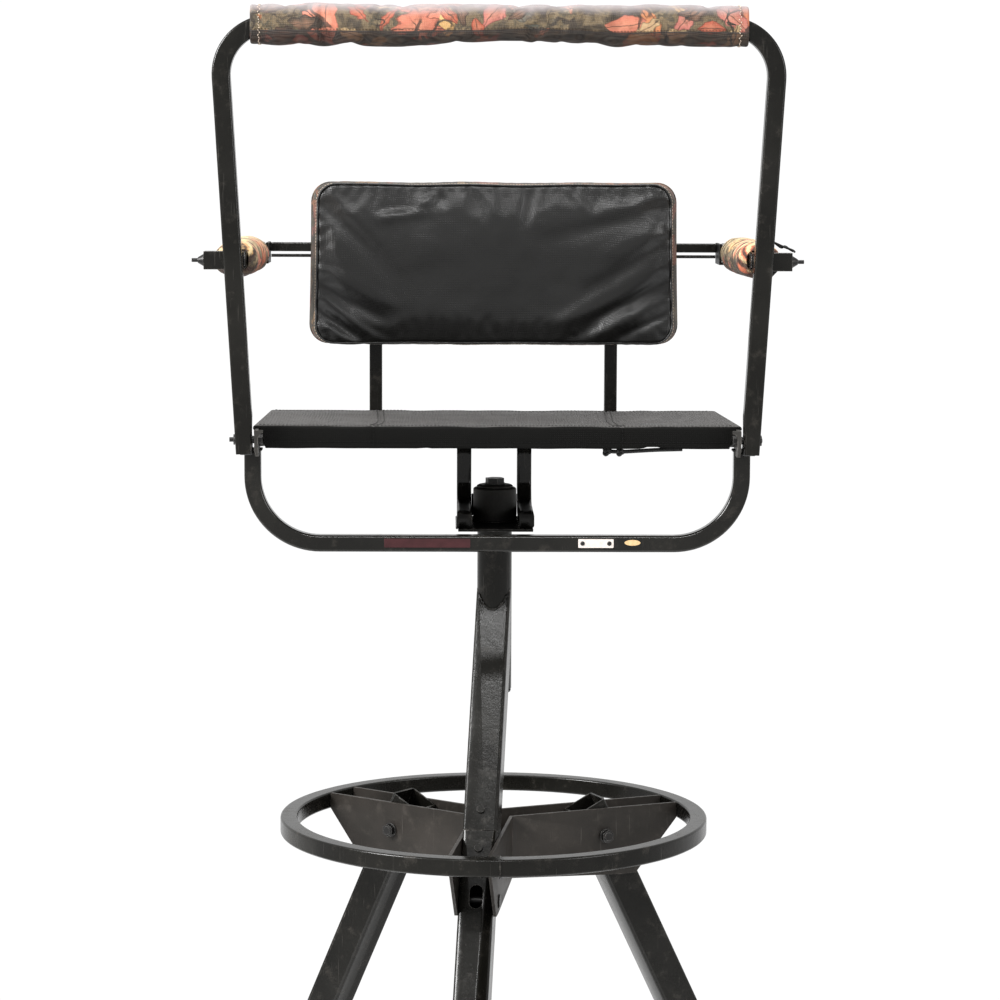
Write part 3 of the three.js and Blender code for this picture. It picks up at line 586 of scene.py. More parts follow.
def stitches(name, pts, normals, mat, body, slot, gap=4.2, length=2.9, r=0.42, lift=0.15):
    """A row of thread stitches along points (row frame, metres), each a short bowed capsule."""
    verts, faces = [], []
    acc, want = 0.0, 0.0
    k = 6
    for (p0, p1, n0) in zip(pts, pts[1:], normals):
        seg = (p1 - p0).length * 1000
        d = (p1 - p0).normalized() if seg > 1e-9 else Vector((1, 0, 0))
        while want <= acc + seg:
            c = p0 + d * (want - acc) / 1000
            nn = n0.normalized()
            side = d.cross(nn).normalized()
            base = len(verts)
            for s in range(5):
                f = s / 4 - 0.5
                bow = (0.25 - f * f) * 4 * 0.35
                rr = r * (0.35 if s in (0, 4) else 1.0)
                q = c + d * (f * length / 1000) + nn * ((lift + bow) / 1000)
                for i in range(k):
                    a = 2 * math.pi * i / k
                    verts.append(q + (side * math.cos(a) + nn * math.sin(a)) * rr / 1000)
            for s in range(4):
                for i in range(k):
                    j = (i + 1) % k
                    faces.append((base + s * k + i, base + s * k + j, base + (s + 1) * k + j, base + (s + 1) * k + i))
            faces.append(tuple(base + i for i in range(k)))
            faces.append(tuple(base + 4 * k + i for i in range(k)))
            want += gap
        acc += seg
    return settle(make(name, verts, faces, mat), body, slot)


def cloth_run(ob, pins, pressure=4.0, frames=18, shrink=-0.02, cap=0.008, bend=0.5, stiff=18, keep_y=None):
    """Inflates a closed fabric shape by cloth simulation, caps the motion and keeps the result."""
    me = ob.data
    before = [v.co.copy() for v in me.vertices]
    g = ob.vertex_groups.new(name="pin")
    for i, w in pins.items():
        g.add([i], w, "REPLACE")
    mod = ob.modifiers.new("Cloth", "CLOTH")
    s = mod.settings
    s.quality = 5
    s.mass = 0.12
    s.tension_stiffness = s.compression_stiffness = stiff
    s.shear_stiffness = 6
    s.bending_stiffness = bend
    s.use_pressure = True
    s.uniform_pressure_force = pressure
    s.shrink_min = shrink
    s.vertex_group_mass = "pin"
    s.effector_weights.gravity = 0
    mod.collision_settings.use_collision = False
    mod.collision_settings.use_self_collision = False
    mod.point_cache.frame_start, mod.point_cache.frame_end = 1, frames
    sc.frame_start, sc.frame_end = 1, max(250, frames)
    for f in range(1, frames + 1):
        sc.frame_set(f)
    ev = ob.evaluated_get(bpy.context.evaluated_depsgraph_get())
    after = [v.co.copy() for v in ev.data.vertices]
    ob.modifiers.remove(mod)
    ob.vertex_groups.remove(g)
    for v, a, b in zip(me.vertices, after, before):
        d = a - b
        if d.length > cap:
            d = d.normalized() * cap
        v.co = b + d
    me.update()
    sc.frame_set(1)


def subdivide(ob, levels=1):
    s = ob.modifiers.new("fine", "SUBSURF")
    s.levels = s.render_levels = levels
    return ob


# ------------------------------------------------------------------ hard parts kept at the CAD's shape
REBUILT = {"foot_ring", "front_hoop", "seat_support_left", "seat_support_right", "backrest_post_left", "backrest_post_right",
           "shooting_rail", "rail_cover", "armrest_pad_left", "armrest_pad_right", "backrest_cushion", "seat_sling", "seat_lace",
           "hairpin_clip", "crossbar_rod"}
for node in sorted(frame["nodes"]):
    if node in REBUILT:
        continue
    wide = 0.0005
    if node.startswith(("leg_front", "leg_rear_left", "leg_rear_right", "mast_post", "post_insert", "mast_tube", "seat_front", "seat_rear", "seat_side", "seat_cross", "step_rung", "armrest_tube", "armrest_crossbar")):
        wide = 0.0
    if "bolt" in node or "pin" in node.split("_"):
        wide = 0.0004
    # the post insert, armrest stops, armrest pivot bolts and seat base plate take the darker paint copy as painted
    # shade
    cad_copy(node, wide, mat=PAINT if node.startswith("post_pin") else PAINT_SHADE if node == "post_insert" or node.startswith(("armrest_stop", "armrest_pivot_bolt", "seat_base_plate")) else PAINTM if node in ("swivel_housing", "swivel_cap") else None)

# foot ring: one bent tube, closed by a weld at the front
YAW = math.radians(7.4)
ring_path = []
N = 220
for i in range(N):
    a = 2 * math.pi * i / N
    ring_path.append((Vector((230.5 * math.cos(a), 230.5 * math.sin(a), -9.5)), Vector((-math.sin(a), math.cos(a), 0))))
ring = tube("foot_ring_tube", ring_path, (0, 0, 1), 19, 19, 2.4, 1.6, PAINT, n=5, closed=True, jig=0.12)
settle(ring, "base", "frame_paint", "foot_ring")


def on_ring(ang, u, v):
    """Point on the ring's skin: u outwards, v up, from the tube's middle."""
    return ((230.5 + u) * math.cos(ang), (230.5 + u) * math.sin(ang), -9.5 + v)


seam = math.radians(270 + 0.9)
bead("ring_seam_weld", [on_ring(seam, *q) for q in round_points(19.3, 19.3, 2.6, 4)], 1.25, PAINT, "base", True, 3)

# front hoop
hoop = tube("front_hoop_tube", bend_path([(-258, -185.5, 430), (-258, -185.5, 329.9), (258, -185.5, 329.9), (258, -185.5, 430)], 71, 22),
            (0, 1, 0), 17.5, 17.5, 3.0, 1.6, PAINTG)
settle(hoop, "seat", "frame_paint", "front_hoop")

# seat supports
zc = (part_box("seat_support_left")[0].z - RT) * 1000 + 8.2
for n, s in (("left", -1), ("right", 1)):
    t = tube("seat_support_tube_" + n, bend_path([(34 * s, 60, 424.9), (34 * s, 60, zc), (34 * s, -76, zc)], 33, 16), (1, 0, 0), 16.4, 16.4, 3.2, 1.6, PAINTG, cap=True)
    # faces forward of y = 38 mm, the run under the seat, take the darker paint copy as painted shade
    t.data.materials.append(PAINT_SHADE)
    for f in t.data.polygons:
        if f.center.y < P(0, 38, 0).y:
            f.material_index = 1
    settle(t, "seat", "frame_paint", "seat_support_" + n)
    p = tube("backrest_post_tube_" + n, bend_path([(136 * s, 13.5, 419.1), (136 * s, 152.5, 414.9), (136 * s, 152.5, 700)], 14, 10), (1, 0, 0), 14.5, 14.5, 2.0, 1.4, PAINT)
    settle(p, "seat", "frame_paint", "backrest_post_" + n)

# web that joins the two supports behind the housing
def plate(name, pts, y0, y1, mat):
    n = len(pts)
    vs = [P(x, y0, z) for x, z in pts] + [P(x, y1, z) for x, z in pts]
    fs = [tuple(range(n - 1, -1, -1)), tuple(range(n, 2 * n))] + [(i, (i + 1) % n, n + (i + 1) % n, n + i) for i in range(n)]
    ob = make(name, vs, fs, mat, smooth=False)
    b = ob.modifiers.new("edge", "BEVEL")
    b.width, b.segments, b.limit_method = 0.0004, 2, "ANGLE"
    settle(ob, "seat", "frame_paint")
    return ob


zp = (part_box("seat_base_plate")[1].z - RT) * 1000
# the web takes the darker paint copy as painted shade
plate("seat_base_web", [(-25.6, zp + 0.2), (25.6, zp + 0.2), (25.6, zp + 25), (-25.6, zp + 25)], 47.0, 50.0, PAINT_SHADE)

# shooting rail
slope = (290.6 - 265.3) / (872 - 441.5)
fx = 265.3 - slope * 14.5
rail = tube("shooting_rail_tube", bend_path([(-fx, -209, 427), (-290.6, -209, 872), (290.6, -209, 872), (fx, -209, 427)], 52, 20),
            (0, 1, 0), 19, 19, 2.8, 1.5, PAINT, jig=0.10, feet=3.2)
settle(rail, "rail", "frame_paint", "shooting_rail")
# moulded plugs in the rail's feet
for s in (-1, 1):
    q = round_points(16.6, 16.6, 2, 3)
    verts, faces, k = [], [], len(q)
    for z, f in ((434, 0.97), (428.2, 1.0), (426.4, 0.97), (425.8, 0.80)):
        for u, v in q:
            verts.append(P(s * (265.3 - slope * (441.5 - z)) + (u * f if u * s < 0 else u * f * 0.72), -209 + v * f, z))
    for t in range(3):
        for i in range(k):
            j = (i + 1) % k
            faces.append((t * k + i, t * k + j, (t + 1) * k + j, (t + 1) * k + i))
    faces += [tuple(range(k)), tuple(3 * k + i for i in range(k))]
    settle(make("rail_foot_plug_" + ("left" if s < 0 else "right"), verts, faces, BLACKP), "rail", "black_plastic")


def rod_curve(name, pts, r, mat, body, slot, *nodes, cyclic=False, smooth=True):
    cu = bpy.data.curves.new(name, "CURVE")
    cu.dimensions = "3D"
    cu.bevel_depth = r
    cu.bevel_resolution = 4
    cu.use_fill_caps = True
    sp = cu.splines.new("POLY")
    sp.points.add(len(pts) - 1)
    for q, p in zip(sp.points, pts):
        q.co = (*p, 1)
    sp.use_cyclic_u = cyclic
    sp.use_smooth = smooth
    ob = bpy.data.objects.new(name, cu)
    sc.collection.objects.link(ob)
    cu.materials.append(mat)
    return settle(ob, body, slot, *nodes)


def spline_points(pts, per=6):
    """Catmull-Rom through the points."""
    v = [Vector(p) for p in pts]
    out = []
    for i in range(len(v) - 1):
        p0, p1, p2, p3 = v[max(0, i - 1)], v[i], v[i + 1], v[min(len(v) - 1, i + 2)]
        for k in range(per):
            t = k / per
            out.append(0.5 * ((2 * p1) + (p2 - p0) * t + (2 * p0 - 5 * p1 + 4 * p2 - p3) * t * t + (3 * p1 - p0 - 3 * p2 + p3) * t ** 3))
    out.append(v[-1])
    return out


rod_curve("crossbar_wire", [P(x, 162, 622) for x in range(-257, 258, 2)], 0.0018, PAINT, "seat", "frame_paint", "crossbar_rod")
clip = spline_points([(311, -190.4, 637.9), (309, -190, 640.2), (300, -190, 643.6), (290, -190, 648), (287, -189.4, 649.3), (286, -188, 649.8),
                      (286, -186, 649.8), (287, -184.6, 649.3), (290, -184, 648), (297, -184.4, 643.0), (301, -184, 644.4), (306, -184, 641.2), (310, -184, 639)], 5)
rod_curve("hairpin_clip_wire", [P(*p) for p in clip], 0.0011, HARD, "armrest_right", "hardware", "hairpin_clip")



# ------------------------------------------------------------------ welds
def arm(ang, r, z, w=0.0):
    """A point on the tripod's arm at angle ang: r out from the mast, w to its side."""
    d = Vector((-math.sin(YAW + ang), -math.cos(YAW + ang), 0))
    s = Vector((math.cos(YAW + ang), -math.sin(YAW + ang), 0))
    return Vector((0, 0, z)) + d * r + s * w


horn = []
for k in range(-15, 16):
    w = k * 1.05
    y = -math.sqrt(19.5 ** 2 - w * w)
    t = (-y - 131.0) / 0.4415
    horn.append(arm(0.0, -y + 0.3, -0.8973 * t + 8.5, w))
bead("mast_saddle_weld", horn, 1.3, PAINT, "base", False, 9)
ARMS = {"front": 0.0, "rear_left": math.radians(120), "rear_right": math.radians(-120)}
for i, (n, ang) in enumerate(ARMS.items()):
    for j, w in enumerate((-21.2, 21.2)):
        bead("ring_weld_%s_%d" % (n, j), [arm(ang, 221, z, w) for z in (-1.0, -6, -12, -17.8)], 1.7, PAINT, "base", False, 10 + i * 2 + j)
for j, s in enumerate((-1, 1)):
    bead("base_plate_weld_%d" % j, [(34 * s + 8.4 * q, y, 332.9) for q in (-1, 1) for y in ((-78, -40, 0, 34) if q < 0 else (34, 0, -40, -78))][:4], 1.2, PAINT, "seat", False, 30 + j)
ring_pts = lambda r, z, n=40: [(r * math.cos(2 * math.pi * k / n), r * math.sin(2 * math.pi * k / n), z) for k in range(n)]
bead("housing_weld", ring_pts(24.6, 333.0), 1.5, PAINT, "seat", True, 40)
bead("mast_cap_weld", ring_pts(19.9, 361.0), 1.1, PAINT, "base", True, 41)
for j, s in enumerate((-1, 1)):
    sup = [(34 * s - 8.0, 60 - 8.0 + 0, 424.0), (34 * s - 8.0, 68, 424.0)]
    bead("support_weld_%d" % j, [(34 * s + a * 8.4, 60 + b * 8.4, 424.2) for a, b in ((-1, -1), (1, -1), (1, 1), (-1, 1))], 1.3, PAINT, "seat", True, 50 + j)
    bead("hoop_weld_%d" % j, [(258 * s + a * 8.9, -185.5 + b * 8.9, 429.2) for a, b in ((-1, -1), (1, -1), (1, 1), (-1, 1))], 1.2, PAINT, "seat", True, 54 + j)
    bead("crossbar_weld_%d" % j, [(136 * s - 7.4, 160.2, 636.6), (136 * s, 160.2, 637.2), (136 * s + 7.4, 160.2, 636.6)], 1.1, PAINT, "seat", False, 58 + j)
    bead("crossbar_weld_under_%d" % j, [(136 * s - 7.4, 160.2, 627.4), (136 * s, 160.0, 626.8), (136 * s + 7.4, 160.2, 627.4)], 1.1, PAINT, "seat", False, 62 + j)

# ------------------------------------------------------------------ seat sling, one sheet stretched over the frame
TILT = math.radians(-1.75)
CT, ST = math.cos(TILT), math.sin(TILT)


def deck(x, y, z):
    """Deck-frame millimetres to the row frame."""
    return P(x, -29.5 + y * CT - z * ST, 450 + y * ST + z * CT)


def lean(x, y):
    """The sewn seams run a little wider apart at the back of the seat."""
    return x + math.copysign(5.0 * max(-1, min(1, y / 168.5)) * math.exp(-((abs(x) - 126) / 34) ** 2), x)


def seat_sheet():
    rnd = random.Random(5)
    HX, HY = 257.5, 168.5
    r = 2.6
    ix, iy = HX - r, HY - r
    lines = lambda half, step: [-half + 2 * half * i / round(2 * half / step) for i in range(round(2 * half / step) + 1)]
    xs = sorted(set([round(v, 2) for v in lines(ix, 5.5)] + [s * (126 + d) for s in (-1, 1) for d in (-3.2, -2.0, -1.0, 0, 1.0, 2.0, 3.2)]))  # close columns at the seams
    xs = [x for i, x in enumerate(xs) if i == 0 or x - xs[i - 1] > 0.6]
    ys = [round(v, 2) for v in lines(iy, 5.5)]

    def top(x, y):
        bays = 0.0
        fr = max(0.0, min(1.0, (y + 147) / (80 + 147)))
        if -147 < y < 80:
            bays = 4.2 * math.sin(math.pi * fr) ** 0.8
        elif 99 < y < 146:
            bays = 1.0 * math.sin(math.pi * (y - 99) / 47)
        side = max(0.0, 1 - abs(x / 238) ** 4) if abs(x) < 238 else 0.0
        z = -bays * side
        q = Vector((x * 0.018, y * 0.03, 0.7))
        z += -0.5 * side + 0.9 * side * noise.noise(q) + 0.35 * noise.noise(q * 3.1)
        # lengthways pull lines and the two sewn seams
        z += 0.28 * side * math.sin(x * 0.09 + 3 * noise.noise(Vector((x * 0.01, y * 0.012, 3))))
        for s in (-1, 1):
            d = abs(x - s * 126)
            z += -0.50 * math.exp(-(d / 1.2) ** 2) + 0.22 * math.exp(-((d - 3) / 1.4) ** 2)
        # edge hems stand a little proud
        e = min(ix - abs(x), iy - abs(y))
        z += 0.35 * math.exp(-((e - 1.5) / 2.5) ** 2) - 0.4 * math.exp(-((e - 9.5) / 1.1) ** 2)
        return min(z, 0.0) if e < 2 else min(z, 0.15)

    verts, faces, mats = [], [], []
    idx = {}
    for j, y in enumerate(ys):
        for i, x in enumerate(xs):
            cx, cy = x, y
            if i in (0, len(xs) - 1) and j in (0, len(ys) - 1):
                cx, cy = x * (1 - 1.2 / abs(x)), y * (1 - 1.2 / abs(y))
            idx[i, j] = len(verts)
            verts.append(deck(lean(cx, cy), cy, top(x, y)))
    for j in range(len(ys) - 1):
        for i in range(len(xs) - 1):
            faces.append((idx[i, j], idx[i + 1, j], idx[i + 1, j + 1], idx[i, j + 1]))
            mats.append(0)
    nx, ny = len(xs) - 1, len(ys) - 1
    loop = [(i, 0) for i in range(nx)] + [(nx, j) for j in range(ny)] + [(i, ny) for i in range(nx, 0, -1)] + [(0, j) for j in range(ny, 0, -1)]

    def outward(i, j):
        n = Vector((0, 0))
        if j == 0: n.y -= 1
        if j == ny: n.y += 1
        if i == 0: n.x -= 1
        if i == nx: n.x += 1
        return n.normalized()

    def depth(i, j):
        x, y = xs[i], ys[j]
        if j == 0:
            return 23.6 - 3.4 * math.exp(-((x - 161) / 8.5) ** 2) - 0.9 * math.exp(-((x + 76) / 3.5) ** 2) if abs(x) <= 249 else 2.6
        if i in (0, nx) and y < -144.5:
            return 2.6
        return 21.6

    rows = []
    prev = [idx[k] for k in loop]
    rr = [(r * math.sin(a), r - r * math.cos(a)) for a in (math.radians(30), math.radians(60), math.radians(90))]
    for step in range(9):
        cur = []
        for i, j in loop:
            n = outward(i, j)
            d = depth(i, j)
            b = verts[idx[i, j]]
            x, y = xs[i], ys[j]
            if i in (0, nx) and j in (0, ny):
                x, y = x * (1 - 1.2 / abs(x)), y * (1 - 1.2 / abs(y))
            zt = top(xs[i], ys[j])
            if step < 3:
                o, z = rr[step]
                z = min(z, d)
            else:
                f = (step - 2) / 6
                o, z = r, r + (d - r) * f
            wav = 0.0
            if d > 5 and step >= 3:
                f = (step - 2) / 6
                wav = f * (0.7 * noise.noise(Vector((x * 0.02, y * 0.02, 9))) - 0.5) - 0.35 * math.exp(-((f - 0.72) / 0.08) ** 2)
                if j == 0:
                    z += f * 0.0
                    z = min(z + f * 0.35 * noise.noise(Vector((x * 0.03, 4, 1))), 24.0)
                    for s in (-1, 1):
                        wav -= 0.35 * math.exp(-((x - s * 126) / 1.3) ** 2)
            cur.append(len(verts))
            verts.append(deck(lean(x, y) + n.x * (o + min(wav, 0)), y + n.y * (o + min(wav, 0)), zt * max(0, 1 - step / 3) - z))
        L = len(loop)
        for k in range(L):
            k2 = (k + 1) % L
            faces.append((prev[k2], prev[k], cur[k], cur[k2]))
            front = loop[k][1] == 0 and loop[k2][1] == 0
            mats.append(1 if (step >= 1) else 0)
        prev = cur
    me = bpy.data.meshes.new("seat_cloth")
    me.from_pydata([tuple(v) for v in verts], [], faces)
    me.polygons.foreach_set("use_smooth", [True] * len(me.polygons))
    me.polygons.foreach_set("material_index", mats)
    ob = bpy.data.objects.new("seat_cloth", me)
    sc.collection.objects.link(ob)
    me.materials.append(SEATC)
    me.materials.append(BANDC)
    so = ob.modifiers.new("thick", "SOLIDIFY")
    so.thickness = 0.0016
    so.offset = -1.0
    so.use_even_offset = False
    settle(ob, "seat", "seat_fabric", "seat_sling")
    return ob, top


seat, seat_top = seat_sheet()
for s in (-1, 1):
    nm = "left" if s < 0 else "right"
    for off in (-3.4, 3.4):
        x = s * 126 + off
        pts = [deck(lean(x, y), y, seat_top(x, y) + 0.1) for y in range(-164, 165, 4)]
        stitches("seat_seam_%s_%s" % (nm, "a" if off < 0 else "b"), pts, [Vector((0, 0, 1))] * len(pts), THREADS, "seat", "seat_fabric", 3.6, 2.5, 0.28, 0.06)
    pts = [deck(lean(s * 126, -168.5), -169.0, z) for z in (-2, -6, -10, -14, -18, -22)]
    stitches("seat_band_seam_" + nm, pts, [Vector((0, -1, 0))] * len(pts), THREAD, "seat", "seat_fabric", 3.6, 2.4, 0.33, -0.25)
pts = [deck(x, -168.4, -16.8) for x in range(-246, 247, 6)]
stitches("seat_front_hem", pts, [Vector((0, -1, 0))] * len(pts), THREAD, "seat", "seat_fabric", 4.0, 2.8, 0.35, 0.1)
for y0 in (-156, 156):
    pts = [deck(x, y0, seat_top(x, y0) + 0.1) for x in range(-250, 251, 6)]
    stitches("seat_edge_seam_" + ("front" if y0 < 0 else "rear"), pts, [Vector((0, 0, 1))] * len(pts), THREAD, "seat", "seat_fabric", 4.0, 2.8, 0.33, 0.12)


# ------------------------------------------------------------------ rail cover: a padded sleeve, sewn along the front
def seam_z(x):
    """Height of the cover's front seam from the middle of the rail, millimetres."""
    return -6.2 + 2.6 * noise.noise(Vector((x * 0.012, 2, 3))) + 1.5 * math.exp(-((x - 20) / 60) ** 2)


def rail_sleeve():
    X0, X1 = -257.0, 257.0
    yc, zc_ = -209.0, 871.5
    sta = 150
    K = 44
    verts, faces, mats = [], [], []

    def ring_at(x, f, scale=1.0):
        """Outer skin at station x: an upright rounded box with a seam groove and a flap below."""
        out = []
        e = min(x - X0, X1 - x)
        endt = min(1.0, e / 10.0)
        for k in range(K):
            a = 2 * math.pi * k / K
            c_, s_ = math.cos(a), math.sin(a)
            hy, hz = 18.2, 20.4
            n_ = 3.2
            m_ = (abs(c_) ** n_ + abs(s_) ** n_) ** (-1 / n_)
            y, z = hy * c_ * m_, hz * s_ * m_
            # bulging pad between the seams, with gathers that run from the seam
            q = Vector((x * 0.021, y * 0.05, z * 0.05))
            g = 1.1 * noise.noise(q) + 0.9 * noise.noise(Vector((x * 0.055, y * 0.02, z * 0.045 + 5)))
            g += 0.5 * noise.noise(Vector((x * 0.16, z * 0.03, y * 0.03 + 11)))
            if c_ < 0.1:      # the front face
                zs = seam_z(x)
                d = z - zs
                g -= 1.9 * math.exp(-(d / 1.3) ** 2)
                g += 0.9 * math.exp(-((d + 3.2) / 2.0) ** 2)
                pull = math.sin(x * 0.19 + 2.3 * noise.noise(Vector((x * 0.02, 1, 0)))) ** 2
                g -= 0.8 * pull * math.exp(-abs(d) / 4.0)
            if s_ < -0.4:     # lower edge rises in the middle
                mid = math.exp(-((x - 6) / 70) ** 2)
                z += 4.4 * mid * min(1, (-s_ - 0.4) / 0.5) + 1.2 * noise.noise(Vector((x * 0.017, 7, 7)))
            g *= 0.25 + 0.75 * endt
            g -= 1.0 * math.exp(-((e - 10.5) / 1.2) ** 2)
            nrm = Vector((c_ / hy, s_ / hz)).normalized()
            y += nrm.x * g
            z += nrm.y * g
            y, z = y * scale, z * scale
            y = max(-19.2, min(19.2, y))
            z = max(-21.6, min(21.6, z))
            out.append(P(x, yc + y, zc_ + z))
        return out

    rings = []
    xs = [X0 + 1.2] + [X0 + 2.5 + (X1 - X0 - 5) * i / sta for i in range(sta + 1)] + [X1 - 1.2]
    for x in xs:
        rings.append(ring_at(x, 0))

    def hole(x, hw=12.6, hh=14.6):
        o = []
        for k in range(K):
            a = 2 * math.pi * k / K
            c_, s_ = math.cos(a), math.sin(a)
            m_ = (abs(c_) ** 6 + abs(s_) ** 6) ** (-1 / 6)
            o.append(P(x, yc + hw * c_ * m_, 870.5 + hh * s_ * m_))
        return o

    def lerp_ring(a, b, f, x):
        return [Vector(((P(x, 0, 0)).x, u.y * (1 - f) + v.y * f, u.z * (1 - f) + v.z * f)) for u, v in zip(a, b)]

    first, last = rings[0], rings[-1]
    seq = [hole(X0 + 26), hole(X0 + 3), lerp_ring(first, hole(X0), 0.55, X0 + 0.15), lerp_ring(first, hole(X0), 0.16, X0 + 0.1)] + rings + \
          [lerp_ring(last, hole(X1), 0.16, X1 - 0.1), lerp_ring(last, hole(X1), 0.55, X1 - 0.15), hole(X1 - 3), hole(X1 - 26)]
    for r_ in seq:
        verts += r_
    R = len(seq)
    for s in range(R):
        t = (s + 1) % R
        for i in range(K):
            j = (i + 1) % K
            faces.append((s * K + i, s * K + j, t * K + j, t * K + i))
    ob = make("rail_cover_cloth", verts, faces, CAMOR)
    return ob, seq, K


# the rail cover's print takes a painted highlight along the top and painted shade under the front seam
CAMOR = camo("leaf_print_rail", bright=0.66, painted_light_band=(0.0, RT + 0.8800, RT + 0.8925))
cover, cover_rings, CK = rail_sleeve()
settle(cover, "rail", "camo_fabric", "rail_cover")
pins = {}
nv = len(cover_rings) * CK
for ri in range(len(cover_rings)):
    for k in range(CK):
        x = cover_rings[ri][k].x
        e = 0.257 - abs(x - MX)
        if ri < 4 or ri >= len(cover_rings) - 4 or e < 0.016:
            pins[ri * CK + k] = 1.0
cloth_run(cover, pins, pressure=3.0, frames=16, shrink=-0.015, cap=0.0022, bend=1.5, stiff=14)
# below: 1 under the front seam and low on the back, where the print is darkened as painted shade
low_ = cover.data.attributes.new("below", "FLOAT", "POINT")
for v in cover.data.vertices:
    d = (v.co.z - RT) * 1000 - 871.5 - seam_z((v.co.x - MX) * 1000)
    low_.data[v.index].value = min(1.0, max(0.0, 0.5 - d / 6.0)) if v.co.y < P(0, -209, 0).y else 1.0 if d < -8 else 0.0
subdivide(cover)

# threads: the front seam and the hems at the two ends
me = cover.data


def skin(ob_rings, ri, k):
    return ob_rings[ri][k]


def ring_line(k, ra, rb, step=1):
    """Points along the sleeve at section position k, read back from the simulated mesh."""
    return [me.vertices[ri * CK + k].co.copy() for ri in range(ra, rb, step)]


def seam_line(ra, rb):
    pts = []
    for ri in range(ra, rb):
        x = cover_rings[ri][0].x
        zs = RT + (871.5 + seam_z((x - MX) * 1000)) / 1000
        best = None
        for k in range(CK // 4, 3 * CK // 4 + 1):
            a, b = me.vertices[ri * CK + k].co, me.vertices[ri * CK + (k + 1) % CK].co
            if min(a.z, b.z) <= zs <= max(a.z, b.z) and a.y < P(0, -209, 0).y:
                f = (zs - a.z) / (b.z - a.z) if abs(b.z - a.z) > 1e-9 else 0
                best = a.lerp(b, f)
        if best:
            pts.append(best)
    return pts


sl = seam_line(6, len(cover_rings) - 6)
# the seam's stitches are dark so the seam reads as a painted shadow line
stitches("rail_cover_seam", [p + Vector((0, -0.0002, 0.0009)) for p in sl], [Vector((0, -1, 0.1))] * len(sl), THREAD_SEAM_SHADE, "rail", "camo_fabric", 3.4, 2.5, 0.34, 0.1)
for nm, ri in (("left", 7), ("right", len(cover_rings) - 8)):
    pts = [me.vertices[ri * CK + k % CK].co.copy() for k in range(CK + 1)]
    cen = sum(pts, Vector()) / len(pts)
    zig = []
    for i, p in enumerate(pts):
        zig.append(p + (p - cen).normalized() * 0.0003 + Vector((0.0011 * (1 if i % 2 else -1), 0, 0)))
    stitches("rail_cover_hem_" + nm, zig, [(p - cen) for p in zig], THREADT, "rail", "camo_fabric", 3.4, 2.2, 0.36, 0.15)


